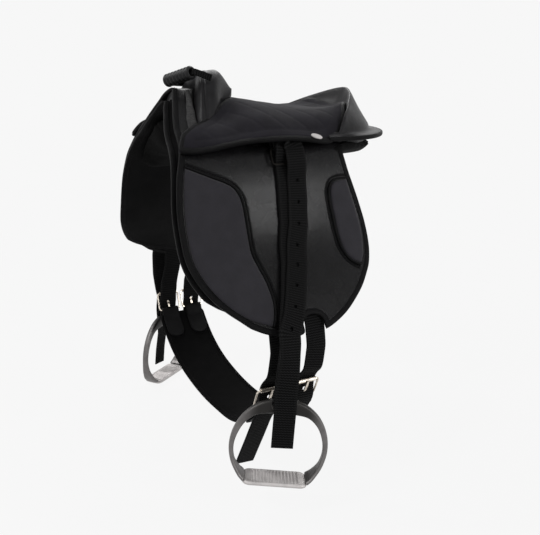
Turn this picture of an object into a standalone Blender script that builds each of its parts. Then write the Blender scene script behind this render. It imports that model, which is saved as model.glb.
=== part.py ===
# Pony saddle with seat cover, flaps, grab handle, stirrups and girth.
# X runs from the front arch (-X) to the cantle (+X), near side is -Y, +Z is up.
# Sizes are written in millimetres and turned into metres as the meshes are made.
import bisect
import math

import bmesh
import bpy
import numpy as np
from mathutils import Vector

MM = 0.001

# Clearances
GAP = 0.3               # between pieces that touch
FLAP_ROOM = 6.0         # room between flap and sweat flap, where the billets hang

# Section of the saddle from the top of the front arch down the flap, as (half width, height)
SIDE_PROFILE = [(0, 127), (13, 121), (26, 109), (50, 87), (66, 76), (80, 63), (89, 47), (96, 28), (102, 8),
                (108, -12), (115.5, -32), (124.5, -50), (135, -65), (147, -80), (161.5, -98), (175, -116),
                (183, -127), (192, -140)]

# Leather and foam
FLAP_THICK = 3.2
SWEAT_FLAP_THICK = 2.5
PATCH_THICK = 2.0
PIPING_HIGH = 3.2
PIPING_WIDE = 3.6
COVER_THICK = 5.0
PAD_ROOM = 0.8          # foam below the cover, room for its facets
BADGE_THICK = 1.2
PANEL_THICK = 20.0

# Tree
TREE_THICK = 6.2
TREE_STEP = 14.0        # spacing of the tree's bend lines
TREE_REAR_Z = 69.0      # top of the flat rear of the tree
HEAD_PLATE_THICK = 2.5
HEAD_PLATE_WIDE = 18.0

# Pommel and cantle
POMMEL_TOP = 151.0
POMMEL_BASE_Z = 88.0
CANTLE_CENTRE_X = 98.0
BRIM_THICK = 5.5
BRIM_REACH = 105.0

# Webbing and fittings
WEB_WIDE = 25.0
WEB_THICK = 1.6
HOLE_PITCH = 25.0
HOLE_DIA = 4.5
BAR_DIA = 5.0
BAR_STAND_OFF = 11.0
STRAP_BUCKLE_WIRE = 2.4
GIRTH_BUCKLE_WIRE = 2.6
GIRTH_BUCKLE_LONG = 26.0
BUCKLE_SIDE_ROOM = 1.8
TONGUE_WIDE = 3.2
TONGUE_THICK = 1.5
ROLLER_WALL = 1.0

# Stirrup iron
IRON_WIDE = 114.0
IRON_HIGH = 107.0
IRON_DEEP = 10.0
TREAD_DEEP = 30.0
TREAD_LONG = 76.0
TREAD_THICK = 6.0
TREAD_RIBS = 14
TREAD_RIB_PITCH = 3.9
FOOT_OUT = 0.85         # how far the arch's feet stand out over the tread's ends
EYE_BAR_DIA = 5.0
HANG_ROOM = 7.0         # stirrups hang this far outside the flap's lower edge
HANG_WIDTH = SIDE_PROFILE[-1][0] + HANG_ROOM
NEAR_EYE_Z = -202.0
FAR_EYE_Z = -238.0
IRON_SLOT = 6.5
NEAR_IRON_TURN = 25.0
FAR_IRON_TURN = 38.0

# Girth
GIRTH_WIDE = 70.0
GIRTH_THICK = 3.5
GIRTH_X = -17.0
NEAR_PITCH = 47.0       # the near buckles have spread apart
FAR_PITCH = 38.0
NEAR_SHIFT = -0.5
BILLET_THICK = 2.0
TAB_LONG = 50.0
TAB_THICK = 2.2

# Grab handle
GRIP_DIA = 16.0
GRIP_LONG = 46.0
GRIP_RIBS = 8
GRIP_WALL = 2.4
HANDLE_WEB_WIDE = 8.0
HANDLE_WEB_THICK = 2.2
HANDLE_OUT = 3.6
HANDLE_BEND = 3.0

for old in list(bpy.data.objects):
    bpy.data.objects.remove(old, do_unlink=True)
partsCollection = bpy.data.collections.new("pony_saddle")
cutterCollection = bpy.data.collections.new("pony_saddle_cutters")
bpy.context.scene.collection.children.link(partsCollection)
bpy.context.scene.collection.children.link(cutterCollection)


# Materials

def make_material(name, colour, roughness, metallic=0.0):
    material = bpy.data.materials.new(name)
    material.use_nodes = True
    shader = material.node_tree.nodes["Principled BSDF"]
    shader.inputs["Base Color"].default_value = (*colour, 1.0)
    shader.inputs["Roughness"].default_value = roughness
    shader.inputs["Metallic"].default_value = metallic
    material.diffuse_color = (*colour, 1.0)
    return material


LEATHER = make_material("smooth_leather", (0.020, 0.020, 0.022), 0.45)
NEOPRENE = make_material("matt_neoprene", (0.030, 0.030, 0.036), 0.85)
QUILT = make_material("quilted_cover", (0.016, 0.016, 0.019), 0.95)
WEBBING = make_material("webbing", (0.012, 0.012, 0.012), 0.75)
FELT = make_material("panel_felt", (0.018, 0.018, 0.018), 0.95)
RUBBER = make_material("grip_rubber", (0.015, 0.015, 0.016), 0.5)
MOULDING = make_material("tree_plastic", (0.05, 0.05, 0.05), 0.5)
STEEL = make_material("nickel_steel", (0.75, 0.70, 0.62), 0.25, 1.0)
ALUMINIUM = make_material("cast_aluminium", (0.55, 0.54, 0.54), 0.38, 1.0)
FOAM = make_material("foam", (0.35, 0.33, 0.28), 0.95)


# Mesh helpers

def add_object(name, bm, material=None, origin=(0, 0, 0), collection=None):
    """Turn a bmesh in millimetres into an object in metres with its own origin."""
    bmesh.ops.remove_doubles(bm, verts=bm.verts, dist=0.01)
    bmesh.ops.recalc_face_normals(bm, faces=bm.faces)
    start = Vector(origin)
    for vert in bm.verts:
        vert.co = (vert.co - start) * MM
    mesh = bpy.data.meshes.new(name)
    bm.to_mesh(mesh)
    bm.free()
    obj = bpy.data.objects.new(name, mesh)
    obj.location = start * MM
    (collection or partsCollection).objects.link(obj)
    if material:
        mesh.materials.append(material)
    mesh.shade_smooth()
    mesh.set_sharp_from_angle(angle=math.radians(40))
    return obj


def smooth_line(points, steps=8, closed=False):
    """Catmull-Rom curve through the points."""
    pts = np.array(points, float)
    if closed:
        pts = np.vstack([pts[-1], pts, pts[0], pts[1]])
    else:
        pts = np.vstack([2 * pts[0] - pts[1], pts, 2 * pts[-1] - pts[-2]])
    out = []
    for p0, p1, p2, p3 in zip(pts, pts[1:], pts[2:], pts[3:]):
        for t in np.arange(steps) / steps:
            out.append(0.5 * (2 * p1 + (p2 - p0) * t + (2 * p0 - 5 * p1 + 4 * p2 - p3) * t * t
                              + (3 * p1 - p0 - 3 * p2 + p3) * t ** 3))
    if not closed:
        out.append(pts[-2])
    return np.array(out)


def smoothstep(value, low, high):
    t = min(max((value - low) / (high - low), 0.0), 1.0)
    return t * t * (3 - 2 * t)


def lerp_table(value, table):
    """Straight interpolation in a short list of (value, result)."""
    keys = [row[0] for row in table]
    return float(np.interp(value, keys, [row[1] for row in table]))


def curve_table(value, table):
    """Smooth interpolation in a short list of (value, result)."""
    keys = [row[0] for row in table]
    value = min(max(value, keys[0]), keys[-1])
    i = min(max(bisect.bisect_right(keys, value) - 1, 0), len(keys) - 2)
    t = (value - keys[i]) / (keys[i + 1] - keys[i])
    y1, y2 = table[i][1], table[i + 1][1]
    span = keys[i + 1] - keys[i]
    before, after = max(i - 1, 0), min(i + 2, len(keys) - 1)
    m1 = (y2 - table[before][1]) / (keys[i + 1] - keys[before]) * span
    m2 = (table[after][1] - y1) / (keys[after] - keys[i]) * span
    t2, t3 = t * t, t * t * t
    return (2 * t3 - 3 * t2 + 1) * y1 + (t3 - 2 * t2 + t) * m1 + (3 * t2 - 2 * t3) * y2 + (t3 - t2) * m2


def even_table(value, table):
    """Smooth interpolation in a table that is the same on both sides of zero."""
    return curve_table(abs(value), [(-table[1][0], table[1][1])] + table)


def grid_lines(low, high, step):
    first = math.ceil((low + 0.2) / step)
    return [i * step for i in range(first, math.floor((high - 0.2) / step) + 1)]


def pattern(outline, xLines, yLines):
    """Flat pattern piece: one face from its outline, split along grid lines so that it can bend."""
    bm = bmesh.new()
    bm.faces.new([bm.verts.new((x, y, 0)) for x, y in outline])
    for axis, lines in ((0, xLines), (1, yLines)):
        for value in lines:
            spot, normal = [0, 0, 0], [0, 0, 0]
            spot[axis], normal[axis] = value, 1
            bmesh.ops.bisect_plane(bm, geom=bm.verts[:] + bm.edges[:] + bm.faces[:], dist=0.02,
                                   plane_co=spot, plane_no=normal)
    bmesh.ops.remove_doubles(bm, verts=bm.verts, dist=0.15)
    bmesh.ops.dissolve_degenerate(bm, edges=bm.edges, dist=0.05)
    return bm


def sheet(outline, low, high, place, xStep=None, yStep=10.0, yLines=None):
    """Cut a flat pattern, give it its thickness and bend it with place(x, y, offset)."""
    points = np.array(outline, float)
    xLines = grid_lines(points[:, 0].min(), points[:, 0].max(), xStep) if xStep else []
    if yLines is None:
        yLines = grid_lines(points[:, 1].min(), points[:, 1].max(), yStep)
    bm = pattern(outline, xLines, yLines)
    bmesh.ops.triangulate(bm, faces=bm.faces)
    bottom = bm.faces[:]
    top = bmesh.ops.extrude_face_region(bm, geom=bottom)
    raised = {e for e in top["geom"] if isinstance(e, bmesh.types.BMVert)}
    for vert in bm.verts:
        x, y = vert.co.x, vert.co.y
        level = high if vert in raised else low
        offset = level(x, y) if callable(level) else level
        vert.co = Vector(place(x, y, offset))
    return bm


def loft(rings, closedEnds=True):
    """Skin between rings of equal point counts, with the end rings filled."""
    bm = bmesh.new()
    rows = [[bm.verts.new(tuple(p)) for p in ring] for ring in rings]
    count = len(rows[0])
    for row, following in zip(rows, rows[1:]):
        for i in range(count):
            j = (i + 1) % count
            bm.faces.new((row[i], row[j], following[j], following[i]))
    if closedEnds:
        bm.faces.new(rows[0][::-1])
        bm.faces.new(rows[-1])
    return bm


def wire(name, points, radius, material, cyclic=False, sides=2, collection=None, origin=(0, 0, 0)):
    """Round bar or ring: a poly curve with a bevel, turned into a mesh."""
    curve = bpy.data.curves.new(name, "CURVE")
    curve.dimensions = "3D"
    curve.bevel_depth = radius * MM
    curve.bevel_resolution = sides
    curve.use_fill_caps = True
    spline = curve.splines.new("POLY")
    spline.points.add(len(points) - 1)
    for point, spot in zip(spline.points, points):
        point.co = (*[c * MM for c in spot], 1.0)
    spline.use_cyclic_u = cyclic
    guide = bpy.data.objects.new(name + "_curve", curve)
    cutterCollection.objects.link(guide)
    bpy.context.view_layer.update()
    mesh = bpy.data.meshes.new_from_object(guide.evaluated_get(bpy.context.evaluated_depsgraph_get()))
    bpy.data.objects.remove(guide, do_unlink=True)
    bm = bmesh.new()
    bm.from_mesh(mesh)
    bpy.data.meshes.remove(mesh)
    for vert in bm.verts:
        vert.co = vert.co / MM
    return add_object(name, bm, material, origin, collection)


def hide_cutter(obj):
    obj.display_type = "WIRE"
    obj.hide_render = True
    if obj.name in partsCollection.objects:
        partsCollection.objects.unlink(obj)
        cutterCollection.objects.link(obj)


def apply_boolean(target, tool, operation):
    """Apply an exact Boolean and keep the result as the target's mesh."""
    modifier = target.modifiers.new(operation.lower(), "BOOLEAN")
    modifier.operation = operation
    modifier.solver = "EXACT"
    modifier.object = tool
    bpy.context.view_layer.update()
    mesh = bpy.data.meshes.new_from_object(target.evaluated_get(bpy.context.evaluated_depsgraph_get()))
    target.modifiers.clear()
    old = target.data
    target.data = mesh
    mesh.name = target.name
    bpy.data.meshes.remove(old)
    bm = bmesh.new()
    bm.from_mesh(mesh)
    bmesh.ops.remove_doubles(bm, verts=bm.verts, dist=0.02 * MM)
    bmesh.ops.dissolve_degenerate(bm, edges=bm.edges, dist=0.02 * MM)
    bmesh.ops.triangulate(bm, faces=bm.faces)
    bm.to_mesh(mesh)
    bm.free()


def join_pieces(target, tool):
    apply_boolean(target, tool, "UNION")
    bpy.data.objects.remove(tool, do_unlink=True)


def cut_with(target, tool):
    hide_cutter(tool)
    apply_boolean(target, tool, "DIFFERENCE")


def seat_against(target, neighbour, room=GAP):
    """Cut the target so that it lies the given gap away from a piece that it rests on."""
    bm = bmesh.new()
    bm.from_mesh(neighbour.data)
    bm.transform(neighbour.matrix_world)
    bm.normal_update()
    for vert in bm.verts:
        vert.co += vert.normal * vert.calc_shell_factor() * room * MM
    for vert in bm.verts:
        vert.co = vert.co / MM
    tool = add_object(f"{target.name}_{neighbour.name}_seat", bm, collection=cutterCollection)
    cut_with(target, tool)
    keep_largest(target)


def keep_largest(obj):
    """Drop the small crumbs that a cut can leave beside the piece."""
    bm = bmesh.new()
    bm.from_mesh(obj.data)
    left = set(bm.verts)
    groups = []
    while left:
        stack = [left.pop()]
        group = set(stack)
        while stack:
            for edge in stack.pop().link_edges:
                for vert in edge.verts:
                    if vert in left:
                        left.discard(vert)
                        group.add(vert)
                        stack.append(vert)
        groups.append(group)
    groups.sort(key=len)
    for group in groups[:-1]:
        bmesh.ops.delete(bm, geom=list(group), context="VERTS")
    bm.to_mesh(obj.data)
    bm.free()


# Shape of the saddle's sides: a fixed section run along X

profileLine = smooth_line([(-SIDE_PROFILE[1][0], SIDE_PROFILE[1][1])] + SIDE_PROFILE, 12)[12:]
profileLengths = np.r_[0, np.cumsum(np.hypot(*np.diff(profileLine, axis=0).T))]


def side_section(s):
    """Half width, height and outward normal at arc length s from the top of the arch."""
    y = np.interp(s, profileLengths, profileLine[:, 0])
    z = np.interp(s, profileLengths, profileLine[:, 1])
    ahead = [np.interp(s + 2.5, profileLengths, profileLine[:, k]) for k in (0, 1)]
    behind = [np.interp(s - 2.5, profileLengths, profileLine[:, k]) for k in (0, 1)]
    run, drop = ahead[0] - behind[0], ahead[1] - behind[1]
    length = math.hypot(run, drop)
    return y, z, -drop / length, run / length


def side_point(side):
    """Place a point of a flat pattern (x, arc length, offset) on the near (-1) or far (+1) side."""
    def place(x, s, offset):
        y, z, normalY, normalZ = side_section(abs(s))
        if s < 0.01:
            normalY, normalZ = 0.0, 1.0
        return x, side * (y + normalY * offset), z + normalZ * offset
    return place


def arc_at_width(y):
    return float(np.interp(y, profileLine[:, 0], profileLengths))


def height_at_width(y):
    return float(np.interp(y, profileLine[:, 0], profileLine[:, 1]))


def side_lines(low, high):
    """Bend lines across a pattern: close together over the arch, wider down the flap."""
    lines = [s for s in (2, 5, 9, 14, 20, 27, 34, 42) if low + 0.3 < s < high - 0.3]
    return lines + [s for s in grid_lines(low, high, 10.0) if s >= 50]


# Front edge of the whole side, from the top of the arch to the flap's lower edge, as (arc length, x)
FRONT_EDGE = [(0, -89), (14, -94), (29, -98), (47, -103), (66, -107), (86, -109.5), (110, -112.5), (131, -116),
              (164, -120.5), (200, -121), (225, -119.5), (243, -115), (258, -109), (274, -100), (288, -88.5),
              (300, -76), (310, -64)]


def front_edge(s):
    return curve_table(s, FRONT_EDGE)


# Height of the seat cover's top face at stations along X, at these half widths
SEAT_WIDTHS = (0, 25, 50, 75, 100)
SEAT_SECTIONS = [(-112, (134, 119, 103, 83.5, 55)), (-55, (125, 114, 98, 88, 74)), (-5, (118, 115.5, 108, 98, 80)),
                 (45, (110, 109, 105, 95, 78)), (88, (104, 104.5, 103.5, 94, 66)),
                 (118, (102.5, 104, 106, 90, 50)), (150, (107.5, 112, 116, 92, 40))]


def seat_height(x, y):
    """Top face of the seat cover over the point (x, y)."""
    rows = []
    for station, heights in SEAT_SECTIONS:
        mirrored = [(-SEAT_WIDTHS[1], heights[1])] + list(zip(SEAT_WIDTHS, heights))
        outer = (2 * SEAT_WIDTHS[-1] - SEAT_WIDTHS[-2], 2 * heights[-1] - heights[-2])
        rows.append((station, curve_table(abs(y), mirrored + [outer])))
    return curve_table(x, rows)


def seat_point(x, y, offset):
    h = 1.0
    slopeX = (seat_height(x + h, y) - seat_height(x - h, y)) / (2 * h)
    slopeY = (seat_height(x, y + h) - seat_height(x, y - h)) / (2 * h)
    normal = np.array([-slopeX, -slopeY, 1.0])
    normal /= np.linalg.norm(normal)
    return np.array([x, y, seat_height(x, y)]) + normal * offset


# Edge of the seat cover on one side, from the middle of the front round to the middle of the rear
COVER_FRONT = [(-8, 0), (-9.5, 5), (-16, 14), (-30, 26), (-53, 45), (-76, 59), (-99, 74)]
COVER_HEM = [(-109, 89), (-88, 95), (-60, 99.5), (-25, 102), (5, 103), (40, 103), (68, 101), (86, 96), (100, 88)]
COVER_REAR = [(110, 79), (120, 67), (127, 55), (136, 40), (142, 22), (145, 0)]


def cover_half_edge():
    front = smooth_line(COVER_FRONT, 2)
    hem = smooth_line(COVER_HEM, 2)
    rear = smooth_line(COVER_REAR, 2)
    return np.vstack([front, hem, rear])


def seat_edge_radius(angle):
    """Distance of the cover's rear edge from the cantle's centre, by angle from straight back."""
    return even_table(angle, [(0, 47), (30, 50), (57, 60), (74, 73), (88, 86), (90, 88)])


# Tree: follows the side section at the front and the wings, flatter under the seat, flat at the rear

def tree_height(x, y):
    level = 75.0
    edge = 66.0
    z = height_at_width(y)
    if y < edge:
        lift = 0.18 + 0.82 * (1 - smoothstep(x, -54, 2)) - 0.18 * smoothstep(x, 20, 80)
        z = level + (z - level) * lift
    rear = smoothstep(x, 74, 108)
    return (1 - rear) * z + rear * TREE_REAR_Z


def tree_point(x, s, offset):
    """Place a pattern point on the tree; s runs across, negative on the near side."""
    y = side_section(abs(s))[0]
    h = 1.2
    slopeX = (tree_height(x + h, y) - tree_height(x - h, y)) / (2 * h)
    slopeY = (tree_height(x, y + h) - tree_height(x, max(y - h, 0))) / (h + min(y, h))
    if y < 0.5:
        slopeY = 0.0
    side = -1 if s < 0 else 1
    normal = np.array([-slopeX, -slopeY * side, 1.0])
    normal /= np.linalg.norm(normal)
    return np.array([x, side * y, tree_height(x, y)]) + normal * offset


def build_tree():
    rearRadius = 83.0
    tip = arc_at_width(88)
    half = [(-82, 0), (-86, 60), (-92, 100), (-92, tip), (-66, tip), (-56, 110), (-40, 103), (58, 103), (66, 94),
            (112, 94)]
    angles = [math.radians(a) for a in (77, 62, 47, 32, 16, 0)]
    half += [(CANTLE_CENTRE_X + rearRadius * math.cos(a), arc_at_width(rearRadius * math.sin(a))) for a in angles]
    outline = half + [(x, -s) for x, s in half[-2:0:-1]]
    lines = [i * TREE_STEP for i in range(-9, 10)]
    bm = sheet(outline, -TREE_THICK - GAP, -GAP, tree_point, xStep=26.0, yLines=lines)
    return add_object("saddle_tree", bm, MOULDING)


def build_head_plate():
    front = -84.0
    reach = 96.0
    low = -TREE_THICK - 2 * GAP - HEAD_PLATE_THICK
    outline = [(front, -reach), (front + HEAD_PLATE_WIDE, -reach), (front + HEAD_PLATE_WIDE, reach), (front, reach)]
    lines = [i * TREE_STEP for i in range(-6, 7)]
    bm = sheet(outline, low, low + HEAD_PLATE_THICK, tree_point, yLines=lines)
    return add_object("head_plate", bm, STEEL)


# Flaps and the pieces sewn to them

FLAP_LOWER = [(-64, 310), (-48, 319), (-30, 325), (-8, 328)]
FLAP_REAR = [(28, 326), (43, 320), (60, 310.5), (76, 298), (91, 284), (102, 270.5), (113, 254), (121, 230),
             (122, 204), (118, 179), (112.5, 157), (108, 140), (105, 122), (104, 108)]
NOTCH_X = 13.0
NOTCH_TOP = 306.0
NOTCH_WIDE = 29.0
FLAP_TOP = 88.0
BAR_CUT_OUT = (-14.0, 52.0, 100.0)


def edge_from(low, high, count, shift):
    return [(front_edge(s) + shift(s), s) for s in np.linspace(low, high, count)]


def flap_front_shift(s):
    """The flap's front edge lies a little behind the sweat flap's."""
    return 7.0 - 5.0 * smoothstep(s, 90, 135)


def notch_outline():
    """Arch that is cut into the lower edge, from front to rear."""
    half = NOTCH_WIDE / 2
    points = [(NOTCH_X - half, 326.5)]
    for a in np.linspace(180, 0, 9):
        points.append((NOTCH_X + half * math.cos(math.radians(a)),
                       NOTCH_TOP + 11 - 11 * math.sin(math.radians(a))))
    return points + [(NOTCH_X + half, 326.5)]


def build_flap(name, side):
    strip = 34.0
    front = edge_from(1.5, 300, 23, flap_front_shift)
    lower = [tuple(p) for p in smooth_line(FLAP_LOWER, 2)]
    rear = [tuple(p) for p in smooth_line(FLAP_REAR, 1)]
    x0, x1, cutS = BAR_CUT_OUT
    top = [(104, 98), (62, 98), (60, FLAP_TOP), (x1, FLAP_TOP), (x1, cutS), (x0, cutS), (x0, FLAP_TOP)]
    back = [(front_edge(s) + strip, s) for s in np.linspace(FLAP_TOP, 1.5, 10)]
    outline = front + lower + notch_outline() + rear + top + back
    bm = sheet(outline, 0.0, FLAP_THICK, side_point(side), yLines=side_lines(1.5, 329))
    return add_object(name, bm, LEATHER)


# Knee patch border from the front edge round to the lower edge, and rear patch border, as (x, arc length)
KNEE_BORDER = [(-103.5, 119), (-79, 130), (-53, 142), (-43, 154), (-39, 170), (-38, 200), (-38, 224), (-34, 243),
               (-30, 262), (-29, 285), (-33, 303), (-38, 314)]
REAR_BORDER = [(103, 146), (92, 146.5), (82, 149), (76.5, 158), (75.5, 172), (77, 190), (78.5, 214), (81, 236),
               (88, 250), (99, 258)]


def inside_line(border, distance):
    """The border line moved inwards, to its left as it runs."""
    line = smooth_line(border, 2)
    steps = np.gradient(line, axis=0)
    steps /= np.linalg.norm(steps, axis=1)[:, None]
    return [tuple(p) for p in line + distance * np.stack([-steps[:, 1], steps[:, 0]], 1)]


def build_knee_patch(name, side):
    inset = 8.0
    border = inside_line(KNEE_BORDER, PIPING_WIDE / 2 + GAP)
    front = [(front_edge(s) + flap_front_shift(s) + inset, s) for s in np.linspace(290, 124, 10)]
    outline = border + [(-52, 307), (-64, 301), (-76, 291)] + front
    low = FLAP_THICK + GAP
    bm = sheet(outline, low, low + PATCH_THICK, side_point(side), yLines=side_lines(110, 329))
    return add_object(name, bm, NEOPRENE)


def build_rear_patch(name, side):
    border = inside_line(REAR_BORDER, -PIPING_WIDE / 2 - GAP)
    rear = [(108, 244), (113, 226), (114, 204), (110, 180), (106, 162)]
    outline = border + [tuple(p) for p in smooth_line(rear, 1)]
    low = FLAP_THICK + GAP
    bm = sheet(outline, low, low + PATCH_THICK, side_point(side), yLines=side_lines(110, 329))
    return add_object(name, bm, NEOPRENE)


def build_piping(name, side, border):
    """Raised welt along a patch's border, lying on the flap."""
    line = smooth_line(border, 2)
    steps = np.gradient(line, axis=0)
    steps /= np.linalg.norm(steps, axis=1)[:, None]
    place = side_point(side)
    half = PIPING_WIDE / 2
    low = FLAP_THICK + GAP
    rings = []
    for (x, s), (dx, ds) in zip(line, steps):
        corners = ((-half, 0), (half, 0), (half * 0.55, PIPING_HIGH), (-half * 0.55, PIPING_HIGH))
        rings.append([place(x - ds * w, s + dx * w, low + h) for w, h in corners])
    return add_object(name, loft(rings), LEATHER)


def build_gusset(name, side):
    """Fastening patch on the front strip of the flap, beside the pommel."""
    ahead = 16.0
    wide = 12.0
    front = [(front_edge(s) + flap_front_shift(s) + ahead, s) for s in np.linspace(7, 72, 10)]
    back = [(x + wide * (0.45 + 0.55 * smoothstep(s, 10, 60)), s) for x, s in front[::-1]]
    low = FLAP_THICK + GAP
    bm = sheet(front + back, low, low + PATCH_THICK, side_point(side), yLines=side_lines(7, 72))
    return add_object(name, bm, NEOPRENE)


def sweat_flap_offset(s):
    """Outer face of the sweat flap: below tree and head plate at the top, below the billets further down."""
    deep = TREE_THICK + HEAD_PLATE_THICK + 4 * GAP
    return -lerp_table(s, [(0, deep), (104, deep), (130, TREE_THICK + 3 * GAP), (152, FLAP_ROOM)])


def build_sweat_flap(name, side):
    front = edge_from(9, 268, 20, lambda s: -1.0)
    lower = [(-92, 279), (-70, 292), (-42, 303), (-8, 309), (30, 307), (60, 295), (84, 277)]
    rear = [(102, 254), (112, 228), (113, 200), (108, 172), (101, 148), (97, 128)]
    top = [(97, 126), (-62, 126), (-72, 112)]
    back = [(front_edge(s) + 26, s) for s in np.linspace(100, 9, 9)]
    smooth = [tuple(p) for p in smooth_line(lower, 2)] + [tuple(p) for p in smooth_line(rear, 1)]
    outline = front + smooth + top + back
    place = side_point(side)
    bm = sheet(outline, lambda x, s: sweat_flap_offset(s) - SWEAT_FLAP_THICK, lambda x, s: sweat_flap_offset(s),
               place, yLines=side_lines(9, 135) + list(range(148, 311, 14)))
    return add_object(name, bm, LEATHER)


# Seat, pommel and cantle

def build_cover():
    half = cover_half_edge()
    outline = [tuple(p) for p in half] + [(x, -y) for x, y in half[-2:0:-1]]
    lines = [-94, -84, -72, -60, -48, -36, -24, -12, 0, 12, 24, 36, 48, 60, 72, 84, 94]
    bm = sheet(outline, -COVER_THICK, 0.0, seat_point, xStep=18.0, yLines=lines)
    return add_object("seat_cover", bm, QUILT)


def build_badge():
    """Plain oval plate on the near skirt, just above the hem."""
    centre = (60.5, -98.0)
    size = (7.5, 2.8)
    outline = [(centre[0] + size[0] * math.cos(a), centre[1] + size[1] * math.sin(a))
               for a in np.linspace(0, 2 * math.pi, 16, endpoint=False)]
    bm = sheet(outline, GAP + 0.35, GAP + 0.35 + BADGE_THICK, seat_point, xStep=4.0, yStep=3.0)
    return add_object("seat_badge", bm, ALUMINIUM)


def cantle_section(angle, x):
    """Cross-section of the cantle at an angle from straight back, as (radius, height) points."""
    a = min(abs(angle), 90.0)
    fade = smoothstep(CANTLE_CENTRE_X - x, 0, 50)
    rimR = even_table(a, [(0, 65), (21, 62), (53, 64), (75, 76), (81, 81), (90, 89)])
    rimZ = even_table(a, [(0, 127), (21, 123.5), (53, 113), (70, 105), (81, 97), (90, 79)]) - 2 * fade
    baseR = even_table(a, [(0, 86), (45, 86), (75, 88.5), (90, 91.5)]) - 3 * fade
    baseZ = even_table(a, [(0, 85), (50, 83.5), (80, 79), (90, 76.5)]) - fade
    brimR = even_table(a, [(0, BRIM_REACH), (60, BRIM_REACH - 1), (90, BRIM_REACH - 9)]) - 6 * fade
    floor = TREE_REAR_Z + GAP
    edgeR = seat_edge_radius(a) - 1.0
    innerR = edgeR - 13.0
    spread = math.radians(a)

    def under_cover(r):
        spot = (x + r * math.cos(spread), r * math.sin(spread))
        return min(seat_point(*spot, -COVER_THICK - 0.6)[2], rimZ - 1.0)
    wallR = edgeR + 0.45 * max(rimR - edgeR, 1.0)
    wallZ = under_cover(edgeR) + 0.30 * max(rimZ - under_cover(edgeR), 1.0) + 1.0
    brimTop = floor + BRIM_THICK
    points = [(innerR, under_cover(innerR)), (edgeR, under_cover(edgeR)), (wallR, wallZ), (rimR - 3.0, rimZ - 2.2),
              (rimR, rimZ), (rimR + 2.6, rimZ - 2.6), (0.5 * (rimR + baseR) + 1.0, 0.45 * rimZ + 0.55 * baseZ),
              (baseR, baseZ), (baseR + 4.0, brimTop + 2.5), (brimR - 2.0, brimTop), (brimR, brimTop - 1.8)]
    for i in range(1, len(points)):
        points[i] = (max(points[i][0], points[i - 1][0] + 0.6), points[i][1])
    return [(innerR, floor)] + points + [(points[-1][0] - 0.3, floor)]


def build_cantle():
    stations = [(90, CANTLE_CENTRE_X - d) for d in (18, 9)]
    stations += [(a, CANTLE_CENTRE_X) for a in (90, 84, 77, 69, 60, 50, 38, 26, 13, 0)]
    stations += [(-a, x) for a, x in stations[-2::-1]]
    rings = []
    for angle, x in stations:
        a = math.radians(angle)
        rings.append([(x + r * math.cos(a), -r * math.sin(a), z) for r, z in cantle_section(angle, x)])
    return add_object("cantle", loft(rings), LEATHER)


def build_seat_pad():
    """Foam between tree and cover."""
    half = [(6, 0), (-14, 22), (-36, 38), (-56, 50), (-60, 62), (60, 62), (96, 62), (112, 50)]
    half += [(CANTLE_CENTRE_X + 32 * math.cos(math.radians(a)), 32 * math.sin(math.radians(a)))
             for a in (55, 35, 15)]
    half.append((CANTLE_CENTRE_X + 32, 0))
    outline = half + [(x, -y) for x, y in half[-2:0:-1]]

    def place(x, y, level):
        if level > 0:
            return seat_point(x, y, -COVER_THICK - PAD_ROOM)
        return x, y, TREE_REAR_Z - 3.0
    lines = [-48, -36, -24, -12, 0, 12, 24, 36, 48]
    bm = sheet(outline, 0.0, 1.0, place, xStep=20.0, yLines=lines)
    return add_object("seat_pad", bm, FOAM)


def pommel_section(angle):
    """Dome section in a plane through the X axis line at POMMEL_BASE_Z, as (x, radius)."""
    a = abs(angle)
    spread = math.radians(a)
    outer = even_table(a, [(0, POMMEL_TOP - POMMEL_BASE_Z), (20, 59), (38, 53), (60, 48), (80, 52), (100, 61)])
    y = outer * math.sin(spread)
    front = -53.0 - 0.32 * y
    rear = even_table(y, [(0, -5), (12, -9), (26, -19), (45, -40), (59, -62), (70, -82)])
    inner = even_table(a, [(0, 33), (25, 24), (45, 24), (70, 33), (100, 55)])
    middle = 0.5 * (front + rear)
    half = 0.5 * (rear - front)
    points = [(front, inner)]
    for t in np.linspace(180, 0, 11):
        c, s = math.cos(math.radians(t)), math.sin(math.radians(t))
        power = 0.55 if c < 0 else 1.0
        fall = 0.8 if c < 0 else 3.0 - 2.1 * smoothstep(a, 15, 58)
        x = middle + half * math.copysign(abs(c) ** power, c)
        points.append((x, inner + (outer - inner) * (0.25 + 0.75 * s ** fall)))
    points.append((rear, inner))
    return points


def build_pommel():
    rings = []
    for angle in (-102, -92, -80, -66, -52, -39, -26, -13, 0, 13, 26, 39, 52, 66, 80, 92, 102):
        a = math.radians(angle)
        rings.append([(x, r * math.sin(a), POMMEL_BASE_Z + r * math.cos(a)) for x, r in pommel_section(angle)])
    return add_object("pommel", loft(rings), LEATHER)


# Panels: cushions under the tree, either side of the gullet

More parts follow.
